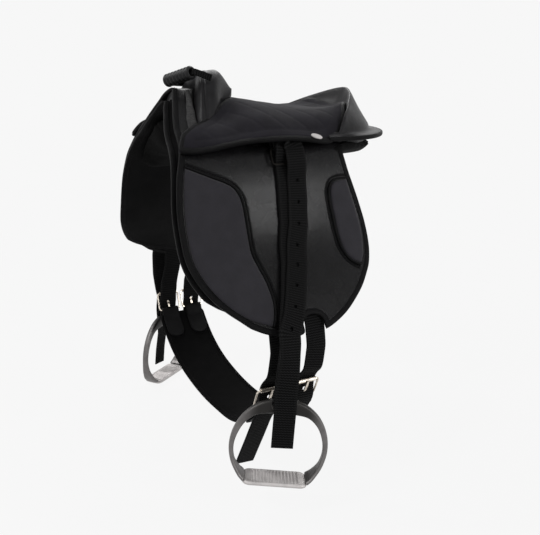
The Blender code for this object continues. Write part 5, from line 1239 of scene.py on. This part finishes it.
# the webbing's way as rows of (distance down, distance out, share of the tail's sideways shift)
def strapRoute(line, tailEnd):
    look = strapShape
    thick = look["thick"]
    step, loop = thick + 0.8, look["eyeDia"] / 2 + 0.3 + thick / 2
    half, wrap = step / 2, look["wire"] / 2 + 0.3 + thick / 2
    bar = look["barDia"] / 2 + 0.3 + thick / 2
    heel, front, out = look["heel"], look["front"], look["out"]
    eye = line.atHeight(line.eyeZ)

    def turns(t, n, r, angles, share=0):  # points on an arc round (t, n)
        return [(t + r * math.cos(math.radians(a)), n + r * math.sin(math.radians(a)), share)
                for a in angles]

    route = turns(heel, out, wrap, (-60, -20, 20, 60, 100, 140))
    route += [(heel - 6.5, 5.6, 0), (4.0, 4.6, 0)] + turns(0, 0, bar, (90, 130, 180, 230, 270))
    shared = list(np.linspace(66, eye - 26, 9))
    route += [(10, -3.0, 0), (20, -1.9, 0), (30, -half, 0), (44, -half, 0), (54, -half, 0)]
    route += [(t, -half, 0) for t in shared] + [(eye - 15, -half - 0.4, 0), (eye - 7, -loop + 0.5, 0)]
    route += turns(eye, 0, loop, (-90, -55, -20, 20, 55, 90))
    route += [(eye - 7, loop - 0.5, 0), (eye - 15, half + 0.4, 0)]
    route += [(t, half, 0) for t in shared[::-1]]
    over, fold = out + wrap + thick + 0.3 + 0.1, 1.15
    route += [(54, half, 0), (44, half + 0.1, 0), (front, out - look["wire"] / 2 - 0.4 - thick / 2, 0),
              (front - 5, 3.4, 0), (front - 10, 5.8, 0.0), (heel + 3, over - 0.1, 0.05),
              (heel - 2, over + 0.1, 0.15)]
    route += [(heel - 4 + fold * math.cos(a), over + 0.1 + fold + fold * math.sin(a), 0.5 + 0.3 * (a > 0))
              for a in np.radians((-90, -135, 180, 135, 90))]
    tailOut = over + 0.1 + 2 * fold
    route += [(heel + 2, tailOut, 1), (front - 8, tailOut, 1), (front, tailOut - 0.2, 1),
              (44, tailOut - 2.5, 1), (54, half + step + 0.5, 1)]
    route += [(t, half + step + (12.0 - half - step) * float(ease(t, eye - 70, eye - 4)), 1)
              for t in shared + [eye - 8, eye + 8, eye + 30]]
    route.append((line.atHeight(tailEnd), 13.0, 1))
    return np.array(route, float)


def punched(path, across, wide, thick, holes, material, name):
    # Webbing with punched holes, each (distance along, across, diameter): each face is a grid of
    # distance along and across, whose points near a hole's edge slide onto the circle; the cells inside
    # it are left out and a short wall joins the faces.
    run = alongLine(path)
    length = run[-1]
    cell = 1.25
    rows, columns = int(length / cell) + 1, int(wide / cell) + 1
    v, u = np.linspace(0, length, rows), np.linspace(-wide / 2, wide / 2, columns)
    grid = np.stack(np.meshgrid(v, u, indexing="ij"), -1).reshape(-1, 2)
    middle = (grid.reshape(rows, columns, 2)[:-1, :-1] + grid.reshape(rows, columns, 2)[1:, 1:]) / 2
    keep = np.ones(middle.shape[:2], bool)
    for at, off, dia in holes:
        keep &= np.hypot(middle[..., 0] - at, middle[..., 1] - off) > dia / 2
    quads = gridFaces(rows, columns)[keep.ravel()]
    border = openEdges(quads, len(grid))[1]
    for at, off, dia in holes:
        rim = np.unique(border)
        rim = rim[np.hypot(grid[rim, 0] - at, grid[rim, 1] - off) < dia]
        way = grid[rim] - [at, off]
        grid[rim] = [at, off] + way / np.linalg.norm(way, axis=1)[:, None] * dia / 2
    used, index = np.unique(quads, return_inverse=True)
    faces = index.reshape(-1, 4)
    walls = np.searchsorted(used, border)
    flat = grid[used]
    across, out = bandWays(path, across)
    base, wideWay, outWay = (np.stack([np.interp(flat[:, 0], run, a[:, k]) for k in range(3)], 1)
                             for a in (path, across, out))
    outWay /= np.linalg.norm(outWay, axis=1)[:, None]
    rim = thick / 2 * (1 - 0.35 * np.clip((np.abs(flat[:, 1]) - wide / 2 + 0.8) / 0.8, 0, 1))
    top = base + wideWay * flat[:, 1:] + outWay * rim[:, None]
    low = base + wideWay * flat[:, 1:] - outWay * rim[:, None]
    count = len(flat)
    cloth = np.vstack([flat[:, ::-1], flat[:, ::-1]])
    rimFaces = np.stack([walls[:, 1], walls[:, 0], walls[:, 0] + count, walls[:, 1] + count], 1)
    return facesOut(newPiece(name, np.vstack([top, low]), [faces, faces[:, ::-1] + count, rimFaces], material,
                             cloth))


def buildStrap(word, side, stations, lifts, shifts, hung):
    # one length of webbing laid along its route, with a row of holes down its tail
    look = strapShape
    line = HangingLine(side, stations, lifts, hung["turn"], hung["eye"])
    route = strapRoute(line, hung["tail"])
    fine = smoothLine(route, 5)
    fine = evenly(fine[:, :3] * [1, 1, 6], 1.5) / [1, 1, 6]
    t, out, share = fine.T
    share = np.clip(share, 0, 1)
    tail = share * np.interp(line.spot(t)[:, 2], *zip(*shifts))
    path = line.place(t, tail, out)
    wide = line.frame(t)[1]
    run = alongLine(path)
    onTail = np.flatnonzero((share > 0.98) & (t > look["front"] + 4))
    holes = []
    for at in np.arange(look["front"] + 20.0, line.atHeight(hung["eye"] + 70), look["pitch"]):
        holes.append((float(np.interp(at, t[onTail], run[onTail])), 0.15, look["hole"]))
    piece = punched(path, wide, look["wide"], look["thick"], holes, webbing, word + "StirrupWebbing")
    settle(piece, word + "_leather", "webbing", word + "_stirrup_strap")
    return line


# each strap's run as (height, x), its height over the side as (distance down, offset), how far its tail
# lies to one side, then the turn of its lower end and iron, the iron's lean, and the eye's and tail's heights
nearRoute = [(90, 19), (28, 19), (-20, 16), (-62, 5), (-124, -25), (-206, -34), (-300, -43)]
farRoute = [(90, 19), (28, 19), (-20, 4), (-62, -16), (-124, -39), (-165, -39), (-206, -34.5), (-300, -40.1)]
nearLifts = [(136, 5.9), (160, 5.8), (190, 5.9), (220, 6.3), (250, 7.6), (280, 9.3), (305, 9.9)]
farLifts = [(136, 5.9), (160, 6.6), (190, 8.5), (220, 9.7), (250, 10.0), (280, 10.1), (305, 10.3)]
nearShifts = [(-253, 1.5), (-206, 0.8), (-160, -1.4), (-127, -1.5), (-108, 3), (-66, 5.5), (-28, 9),
              (10, 11.5), (90, 11)]
farShifts = [(-326, 7), (-305, 10), (-272, 15), (-240, 11), (-206, 5), (-150, 3), (-66, 6), (-15, 8), (90, 8)]
nearHang = {"turn": 25.0, "lean": 6.0, "eye": -202.0, "tail": -253.0}
farHang = {"turn": 38.0, "lean": 3.0, "eye": -238.0, "tail": -326.0}
nearLine = buildStrap("near", -1, nearRoute, nearLifts, nearShifts, nearHang)
farLine = buildStrap("far", 1, farRoute, farLifts, farShifts, farHang)
print("stirrup straps made")


# stirrup irons: outer and inner line of one half, from the middle of the top to the tread, as shares of
# half width and height
ironShape = {"wide": 114.0, "high": 107.0, "footOut": 0.85, "deep": 10.0, "slotWide": 28.0, "slotEnd": 11.9,
             "eyeBar": 5.0}
ironOuter = [(0, 1.0), (0.26, 0.985), (0.52, 0.925), (0.77, 0.80), (0.94, 0.625), (1.0, 0.43),
             (0.95, 0.25), (0.82, 0.11), (0.70, 0.035)]
ironInner = [(0, 0.835), (0.26, 0.828), (0.52, 0.80), (0.72, 0.705), (0.845, 0.57), (0.90, 0.42),
             (0.86, 0.25), (0.74, 0.13), (0.64, 0.075)]
treadShape = {"long": 76.0, "deep": 30.0, "thick": 6.0, "ribs": 14, "pitch": 3.9, "ribHigh": 1.5,
              "corner": 9.0, "cell": 0.95}


def cutAway(piece, cutter):  # takes the cutter's space out of the piece
    cut = piece.modifiers.new("Cut", "BOOLEAN")
    cut.solver = "EXACT"
    cut.operation = "DIFFERENCE"
    cut.object = cutter
    applyAll(piece)
    bpy.data.objects.remove(cutter)


def buildIron(word, side, line, hung):
    # an arch of rounded sections between two lines, slotted for the strap, with an eye bar and a tread
    look, tread = ironShape, treadShape
    eye = line.place(np.array(line.atHeight(line.eyeZ)), 0, 0)
    a, slope = math.radians(hung["turn"]), math.radians(hung["lean"])
    wide = np.array([math.cos(a), side * math.sin(a), 0.0])
    down = np.array([0, 0, -1.0])
    across = wide * math.cos(slope) + down * math.sin(slope)
    below = down * math.cos(slope) - wide * math.sin(slope)
    out = np.cross(across, below)
    out *= 1 if out[1] * side > 0 else -1
    top = eye - below * (look["eyeBar"] / 2 + 0.4)

    def place(u, v, away):  # across the iron, down from its top, and away from its middle plane
        u, v, away = np.broadcast_arrays(np.asarray(u, float), v, away)
        return top + u[..., None] * across + v[..., None] * below + away[..., None] * out

    outer, inner = smoothLine(ironOuter, 7), smoothLine(ironInner, 7)
    share = np.linspace(0, 1, len(outer))
    deep = (look["deep"] * (1 - 0.15 * ease(share, 0.1, 0.4)) + 16 * ease(share, 0.62, 1.0)) / 2
    scale = np.array([look["wide"] / 2, look["high"]])
    flip = np.array([-1.0, 1.0])
    foot = tread["long"] / 2 + look["footOut"] - ironOuter[-1][0] * look["wide"] / 2
    outer, inner = (np.stack([p[:, 0], 1 - p[:, 1]], 1) * scale
                    + np.stack([foot * ease(1 - p[:, 1], 0.6, 1.0), 0 * p[:, 0]], 1)
                    for p in (outer, inner))
    outer, inner = (np.vstack([(p * flip)[:0:-1], p]) for p in (outer, inner))
    deep = np.r_[deep[:0:-1], deep]
    t = np.linspace(0, 2 * math.pi, 28, endpoint=False)
    c, s = np.cos(t), np.sin(t)
    c, s = np.sign(c) * np.abs(c) ** 0.75, np.sign(s) * np.abs(s) ** 0.6
    middle, half = (outer + inner) / 2, (outer - inner) / 2
    spot = middle[:, None] + half[:, None] * c[None, :, None]
    run = np.abs(np.linspace(-1, 1, len(outer)))
    cloth = np.stack(np.broadcast_arrays(t[None], run[:, None]), -1).astype(float)
    arch = sweep(word + "StirrupIron", place(spot[..., 0], spot[..., 1], deep[:, None] * s[None]), ironCast,
                 cloth=cloth)
    # the slot for the strap: a prism with rounded lower corners
    w, low, r = look["slotWide"] / 2, look["slotEnd"], 2.6
    q = np.linspace(0, math.pi / 2, 6)
    corner = np.stack([w - r + r * np.cos(q), low - r + r * np.sin(q)], 1)
    loop = np.vstack([[(w, -5.0)], corner, (corner * flip)[::-1], [(-w, -5.0)]])
    prism = np.stack([place(loop[:, 0], loop[:, 1], away) for away in (-16.0, 16.0)])
    cutAway(arch, sweep(word + "Slot", prism, ironCast))
    arch.data.materials.clear()
    arch.data.materials.append(ironCast)
    arch.data.set_sharp_from_angle(angle=math.radians(38))
    b = np.linspace(0, 2 * math.pi, 20, endpoint=False)
    barAlong = np.array([-w - 2.5, -w + 1.0, w - 1.0, w + 2.5])
    bar = sweep(word + "EyeBar", place(barAlong[:, None], look["eyeBar"] / 2 * (1 - np.cos(b)) + 0.4,
                                       look["eyeBar"] / 2 * np.sin(b)), ironCast)
    # the tread: a plate with rounded ends, ribbed across its upper face inside a plain rim
    outline = roundedOblong(tread["long"] / 2, tread["deep"] / 2, tread["corner"])
    bottom, upper = look["high"], look["high"] - tread["thick"]

    def topOf(u, away, d):  # ribs across the plate, as a rounded cosine wave
        wave = 0.5 + 0.5 * np.cos(2 * math.pi * u / tread["pitch"])
        inside = ease(d, 2.2, 3.6) * (np.abs(u) < tread["ribs"] * tread["pitch"] / 2)
        return -upper - tread["ribHigh"] * inside * (1 - wave ** 0.7) - 1.6 * (1 - ease(d, 0, 2.0))
    plate = cutSheet(word + "Tread", outline, tread["cell"],
                     lambda u, away, d: -bottom + 2.2 * (1 - ease(d, 0, 4.0)), topOf,
                     lambda u, away, lift: place(u, -lift, away), cast)
    iron = together(word + "StirrupIron", [arch, bar, plate])
    settle(iron, word + "_iron", "cast_aluminium", word + "_stirrup_iron")


buildIron("near", -1, nearLine, nearHang)
buildIron("far", 1, farLine, farHang)
print("stirrup irons made")


# girth: a band of neoprene under the belly, with two buckled straps at each end
girthShape = {"wide": 70.0, "thick": 3.5, "x": -17.0, "nearPitch": 47.0, "farPitch": 38.0,
              "nearShift": -0.5, "tilt": 24.0, "buckleY": 175.0, "buckleZ": -205.0, "buckleLong": 26.0,
              "wire": 2.6, "rollerWall": 1.0, "tabLong": 50.0, "tabThick": 2.2, "billetThick": 2.0,
              "pinHole": 5.0, "hole": 2.4, "holePitch": 25.0, "corner": 9.0}
girthCurve = [(160.5, -233.5), (138.5, -251), (112, -265), (80, -275), (40, -281), (0, -283)]
girthTilt = math.radians(girthShape["tilt"])
girthDown = np.array([-math.sin(girthTilt), -math.cos(girthTilt)])
girthOut = np.array([math.cos(girthTilt), -math.sin(girthTilt)])
girthMiddle = np.array([girthShape["buckleY"], girthShape["buckleZ"]])


def girthLine():  # (y, z) from below the far buckle, round under the belly, to below the near one
    start = girthMiddle + girthDown * (girthShape["buckleLong"] / 2 + 5.0)
    half = np.vstack([start, start + girthDown * 8, girthCurve])
    return smoothLine(np.vstack([half, (half * [-1, 1])[-2::-1]]), 10)


girthPath = girthLine()
girthRun = alongLine(girthPath)


def girthPlace(x, s, lift):  # s runs from the far end to the near one, lift is away from the pony
    y, z = (np.interp(s, girthRun, girthPath[:, k]) for k in (0, 1))
    dy, dz = (np.interp(s + 3, girthRun, girthPath[:, k]) - np.interp(s - 3, girthRun, girthPath[:, k])
              for k in (0, 1))
    size = np.hypot(dy, dz)
    x, y, z = np.broadcast_arrays(x, y - dz / size * lift, z + dy / size * lift)
    return np.stack([x, y, z], -1)


# along runs up the girth strap from the buckle's middle, away is outward
def buckleSpot(side, x, along, away):
    along, away = np.broadcast_arrays(np.asarray(along, float), away)
    flat = girthMiddle - along[..., None] * girthDown + away[..., None] * girthOut
    return np.stack([np.full(flat.shape[:-1], x), side * flat[..., 0], flat[..., 1]], -1)


def buckleX(side, rear):  # where a girth strap crosses its buckle: the near pair has spread apart
    look = girthShape
    pitch = look["nearPitch"] if side < 0 else look["farPitch"]
    return look["x"] + (look["nearShift"] if side < 0 else 0.0) + (pitch / 2 if rear else -pitch / 2)


def buildGirth():  # the band cut flat, wider towards its near end, with its binding and two rows of thread
    look = girthShape
    half, long = look["wide"] / 2, girthRun[-1]
    outline = evenly(roundedOblong(half, long / 2, look["corner"]) + [0, long / 2], 2.0, True)
    spread = ease(outline[:, 1], long - 150, long - 30)  # wider towards the near end
    wider = (look["nearPitch"] - look["farPitch"]) / 2 / half * spread
    outline[:, 0] = look["x"] + look["nearShift"] * spread + outline[:, 0] * (1 + wider)
    deep = look["thick"] / 2

    def face(x, s, d):  # thinner at the edge, with a line pressed in beside the binding
        return deep - 0.8 * (1 - ease(d, 0, 5)) - 0.5 * np.exp(-((d - 7.5) / 0.9) ** 2)
    band = cutSheet("girthBand", outline, 2.8, lambda x, s, d: -face(x, s, d), face, girthPlace, girthCloth)
    settle(band, "girth", "matt_neoprene", "girth_band")
    edge = evenly(outline, 2.6, True)
    tape = trim("girthBinding", edge, ovalSection(-0.9, 4.6, -deep - 0.5, deep + 0.5, 14, 0.55), girthPlace,
                girthCloth, True)
    settle(tape, "girth", "smooth_leather")
    rows = [stitches("girthStitches", beside(edge, off, True), girthPlace, lift, seam, True)
            for off, lift in ((3.6, deep + 0.42), (3.6, -deep - 0.42))]
    settle(together("girthStitching", rows), "girth", "smooth_leather")


def buildBillet(end, side, rear):
    # down between the flaps, behind the buckle's roller, out through its frame, and on as a tail
    look = girthShape
    half, thick = look["buckleLong"] / 2, look["billetThick"]
    roller = look["wire"] / 2 + 0.25 + look["rollerWall"]
    under = -(roller + 0.3 + thick / 2 + 0.2)
    over = look["thick"] / 2 + look["tabThick"] + 0.9 + thick / 2 + 0.6
    s = np.array([112.0, 122, 135, 150, 170, 200, 230, 255, 280, 300, 316])
    lift = np.where(s < 152, np.minimum(-3.0, sweatOffset(s) + 1.2 + thick / 2), -3.0)
    y, z, ny, nz = sideSection(s)
    upper = np.stack([y + ny * lift, z + nz * lift], 1)
    tail = 97.0 if (side < 0 and not rear) else 16.0
    along = [half + 22, half + 8, half, half - 7, 0, -half + 7, -half, -half - 6]
    away = [under - 1.2, under, under, under + 2.2, 0.6, over - 1.6, over, over + 0.2]
    for extra in np.linspace(14, tail, max(2, round(tail / 14))):
        along.append(-half - extra)
        away.append(over + 0.2 + 0.02 * extra * float(ease(extra, 10, 50)))
    lower = girthMiddle - np.array(along)[:, None] * girthDown + np.array(away)[:, None] * girthOut
    flat = evenly(smoothLine(np.vstack([upper, lower]), 8), 1.6)
    x0 = buckleX(side, rear)
    topX = look["x"] + (14.5 if rear else -14.5)
    high = look["buckleZ"]
    x = np.interp(flat[:, 1], [-313, -237, high - 16, high + 14, -175, -150, -70, 60],
                  [x0 - 14, x0 - 5, x0 - 1, x0 + 0.5, x0 + 6, x0 + 11, x0 + 10, topX + 3])
    path = relax(np.stack([x, side * flat[:, 0], flat[:, 1]], 1), 4)
    run = alongLine(path)
    pin = float(np.interp(0, *hitAlong(flat, run)))
    # the buckle's own hole, and the rest of the row further up, between the flaps
    holes = [(pin, 0.0, look["pinHole"])] + [(pin - k * look["holePitch"], 0.0, look["hole"])
                                             for k in range(4, 7)]
    wide = np.broadcast_to([1.0, 0, 0], path.shape)
    piece = punched(path, wide, 25.0, thick, holes, webbing, end + "GirthStrap")
    settle(piece, "girth", "webbing", end + "_billet")


# where the strap stands across from the buckle's middle, as a table of offset and run
def hitAlong(flat, run):
    offset = (flat - girthMiddle) @ girthDown
    order = np.argsort(offset)
    return offset[order], run[order]


def buildTab(end, side, rear):  # folded round the buckle's lower bar, one end on each face of the girth
    look = girthShape
    x0 = buckleX(side, rear)
    half = look["buckleLong"] / 2
    wrap = look["wire"] / 2 + 0.3 + look["tabThick"] / 2
    lay = look["thick"] / 2 + 0.3 + look["tabThick"] / 2
    start = half + 5.0
    total = girthRun[-1]
    bend = np.radians(np.linspace(0, 180, 9))
    along = np.r_[-start - look["tabLong"], np.linspace(-start - look["tabLong"] + 6, -start - 4, 8),
                  -half - 3.5, -half + wrap * np.sin(bend),
                  -half - 3.5, np.linspace(-start - 4, -start - look["tabLong"] + 12, 8),
                  -start - look["tabLong"] + 6]
    away = np.r_[np.full(9, lay), lay, wrap * np.cos(bend), -lay, np.full(9, -lay)]
    held = buckleSpot(side, x0, along, away)
    run = -start - along
    laid = girthPlace(x0, run if side > 0 else total - run, away)
    path = np.where((along < -start)[:, None], laid, held)
    path = evenly(smoothLine(path, 6), 1.1)
    fromEnd = np.minimum(alongLine(path), alongLine(path[::-1])[::-1])
    wide = 26.0
    taper = np.sqrt(np.clip(1 - (np.maximum(wide / 2 - fromEnd, 0) / (wide / 2)) ** 2, 0.02, 1))
    across = np.broadcast_to([1.0, 0, 0], path.shape)
    piece = strapPiece(end + "GirthTab", path, across, wide, look["tabThick"], binding, 0.8, 0.15, taper, 11)
    rim = wide / 2 - 2.4
    # thread along the tab's U-shaped edge: distance along is kept off the round end by the same margin
    t = np.linspace(-1, 1, 61)
    reach = look["tabLong"] - 3.0
    u = np.where(np.abs(t) < 0.45, rim * np.sin(t / 0.45 * math.pi / 2), rim * np.sign(t))
    v = np.where(np.abs(t) < 0.45, reach - rim + rim * np.cos(t / 0.45 * math.pi / 2),
                 (reach - rim) * (1 - (np.abs(t) - 0.45) / 0.55))
    row = np.stack([x0 + u, v if side > 0 else total - v], 1)
    rows = [stitches(end + "TabStitching", row, girthPlace, face * (lay + look["tabThick"] / 2 + 0.02), seam)
            for face in (1, -1)]
    settle(together(end + "GirthTab", [piece] + rows), "girth", "smooth_leather", end + "_tab")


buildGirth()
for word, side in (("near", -1), ("far", 1)):
    for end, rear in (("front", False), ("rear", True)):
        buildBillet(word + "_" + end, side, rear)
        buildTab(word + "_" + end, side, rear)
print("girth made")


# grab handle: a narrow webbing loop over the front arch, through a ribbed rubber tube
gripShape = {"near": (-66.0, -21.0, 148.5), "far": (-81.0, 17.0, 138.0), "dia": 16.0, "long": 46.0,
             "ribs": 8, "bore": 9.0, "webWide": 8.0, "webThick": 2.2, "nearEnd": (-43.0, -27.0, 142.5),
             "farEnd": (-47.0, 33.0, 133.0), "out": 3.6, "bend": 3.0}


def roundedCorner(before, corner, after, radius):
    # the arc that rounds a corner of a route, and the direction it turns about
    back, ahead = (q / np.linalg.norm(q) for q in (before - corner, after - corner))
    half = math.acos(float(back @ ahead)) / 2
    turn = math.pi - 2 * half
    centre = corner + (back + ahead) / np.linalg.norm(back + ahead) * radius / math.sin(half)
    first, last = (corner + q * radius / math.tan(half) - centre for q in (back, ahead))
    f = np.linspace(0, 1, 8)[:, None]
    about = np.cross(back, ahead)
    spot = centre + (first * np.sin(turn * (1 - f)) + last * np.sin(turn * f)) / math.sin(turn)
    return spot, about * np.sign(about[2]) / np.linalg.norm(about)


def buildHandle():  # the loop's webbing from end to end, and the ribbed tube turned round its own axis
    look = gripShape
    near, far = np.array(look["near"]), np.array(look["far"])
    axis = (near - far) / np.linalg.norm(near - far)
    middle = (near + far) / 2
    nearEnd, farEnd = np.array(look["nearEnd"]), np.array(look["farEnd"])
    reach = look["long"] / 2 + look["out"]
    nearBend, nearEdge = roundedCorner(nearEnd, middle + axis * reach, middle, look["bend"])
    farBend, farEdge = roundedCorner(middle, middle - axis * (reach + 1), farEnd, look["bend"])
    # the webbing bends flat at both corners and twists along its straight runs
    route = np.vstack([nearEnd, nearBend, farBend, farEnd])
    edges = np.vstack([[0.36, -0.04, 0.93], np.tile(nearEdge, (8, 1)), np.tile(farEdge, (8, 1)),
                       [0.19, -0.51, 0.84]])
    run = alongLine(route)
    at = np.unique(np.r_[run, np.arange(0, run[-1], 2.0)])
    line = np.stack([np.interp(at, run, route[:, k]) for k in range(3)], 1)
    across = np.stack([np.interp(at, run, edges[:, k]) for k in range(3)], 1)
    strap = strapPiece("handleWebbing", line, across, look["webWide"], look["webThick"], webbing, 0.8)
    settle(strap, "handle", "webbing", "handle_strap")
    # the tube's section is walked round: out along the ribs, over the rounded end, back through the bore
    count = look["ribs"] * 12
    d = np.linspace(-look["long"] / 2, look["long"] / 2, count + 1)
    rib = np.abs(np.cos(math.pi * look["ribs"] * (d / look["long"] + 0.5)))
    outer = look["dia"] / 2 * (1.0 - 0.14 * rib ** 2.2)
    outer *= 1 - 0.10 * np.exp(-((np.abs(d) - look["long"] / 2) / 0.7) ** 2)
    inner = np.full(12, look["bore"] / 2)
    back = np.linspace(look["long"] / 2 - 0.3, -look["long"] / 2 + 0.3, 12)
    profile = np.stack([np.r_[d, back], np.r_[outer, inner]], 1)
    sideways = np.cross(axis, [0, 0, 1.0])
    sideways /= np.linalg.norm(sideways)
    other = np.cross(axis, sideways)
    a = np.linspace(0, 2 * math.pi, 48, endpoint=False)
    spokes = np.cos(a)[:, None] * sideways + np.sin(a)[:, None] * other
    rings = middle + profile[None, :, :1] * axis + profile[None, :, 1:] * spokes[:, None]
    settle(sweep("handleGrip", rings, rubber, True), "handle", "grip_rubber", "handle_grip")


buildHandle()
print("handle made")


# floor, lights and camera
stageShape = {"floorDrop": 1.0, "floorSize": 24.0, "white": 0.93, "ambient": 0.42, "glow": 0.97,
              "lens": 46.67, "yaw": -27.8, "pitch": 17.5, "roll": 0.5, "camera": (-0.378, -0.815, 0.178)}
lampShape = [("key", (0.83, -1.61, 0.50), 0.42, 12.5), ("top", (-0.85, 0.95, 1.5), 0.45, 16.0),
             ("left", (-1.32, -0.2, 1.38), 0.30, 14.0), ("rim", (0.9, 1.5, 1.3), 1.2, 12.0)]


def makeBackdrop():  # matt and pale near the saddle, and from there out the even white of a studio sweep
    finish = Finish("paleFloor", {"Roughness": 0.75, "Specular IOR Level": 0.1})
    drift = finish.noise(0.01, 2.0)
    material = finish.done(finish.blend(drift.ease(0.3, 0.7), (0.80, 0.80, 0.80), (0.84, 0.84, 0.84)),
                           0.72 + 0.1 * drift)
    glow = finish.node("ShaderNodeEmission", None,
                       {"Color": (1.0, 1.0, 1.0), "Strength": stageShape["white"]})
    far = finish.node("ShaderNodeVectorMath", {"operation": "LENGTH"}, {0: finish.place(0.001)}, "Value")
    mix = finish.node("ShaderNodeMixShader", None, {0: far.ease(0.35, 1.3, stageShape["glow"], 1.0)})
    finish.tree.links.new(finish.shader.outputs[0], finish.tree.nodes[mix.socket.node.name].inputs[1])
    finish.tree.links.new(glow.socket, mix.socket.node.inputs[2])
    finish.tree.links.new(mix.socket, finish.tree.nodes["Material Output"].inputs["Surface"])
    return material


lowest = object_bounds()[0][2] / mm - stageShape["floorDrop"]
half = stageShape["floorSize"] / 2 / mm
corners = [(-half, -half, lowest), (half, -half, lowest), (half, half, lowest), (-half, half, lowest)]
floor = newPiece("floor", corners, [[(0, 1, 2, 3)]], makeBackdrop(), smooth=False)

world = bpy.data.worlds.new("studio")
world.use_nodes = True
bpy.context.scene.world = world
tree = world.node_tree
shade = tree.nodes["Background"]
shade.inputs["Color"].default_value = (1, 1, 1, 1)
path = tree.nodes.new("ShaderNodeLightPath")
seen = path.outputs["Is Camera Ray"]
for label in ("Is Glossy Ray", "Is Transmission Ray"):
    either = tree.nodes.new("ShaderNodeMath")
    either.operation = "MAXIMUM"
    tree.links.new(seen, either.inputs[0])
    tree.links.new(path.outputs[label], either.inputs[1])
    seen = either.outputs[0]
level = tree.nodes.new("ShaderNodeMapRange")
level.inputs["To Min"].default_value = stageShape["ambient"]
level.inputs["To Max"].default_value = stageShape["white"]
tree.links.new(seen, level.inputs["Value"])
tree.links.new(level.outputs[0], shade.inputs["Strength"])

for name, spot, size, power in lampShape:
    lamp = bpy.data.lights.new(name, "AREA")
    lamp.shape = "DISK"
    lamp.size = size
    lamp.energy = power
    holder = bpy.data.objects.new(name, lamp)
    holder.location = spot
    holder.rotation_euler = (Vector((0, 0, -0.05)) - Vector(spot)).to_track_quat("-Z", "Y").to_euler()
    bpy.context.scene.collection.objects.link(holder)

yaw, pitch, roll = (math.radians(stageShape[k]) for k in ("yaw", "pitch", "roll"))
back = Vector((math.sin(yaw) * math.cos(pitch), -math.cos(yaw) * math.cos(pitch), math.sin(pitch)))
right = (-back).cross(Vector((0, 0, 1))).normalized()
up = right.cross(-back)
right, up = right * math.cos(roll) + up * math.sin(roll), up * math.cos(roll) - right * math.sin(roll)
view = bpy.data.cameras.new("camera")
view.sensor_width = 36.0
view.sensor_fit = "HORIZONTAL"
view.lens = stageShape["lens"]
view.clip_start = 0.01
camera = bpy.data.objects.new("camera", view)
camera.matrix_world = Matrix([(*row, at) for row, at in zip(zip(right, up, back), stageShape["camera"])]
                             + [(0, 0, 0, 1)])
bpy.context.scene.collection.objects.link(camera)
bpy.context.scene.camera = camera
bpy.context.scene.view_settings.view_transform = "Standard"
print("stage set")
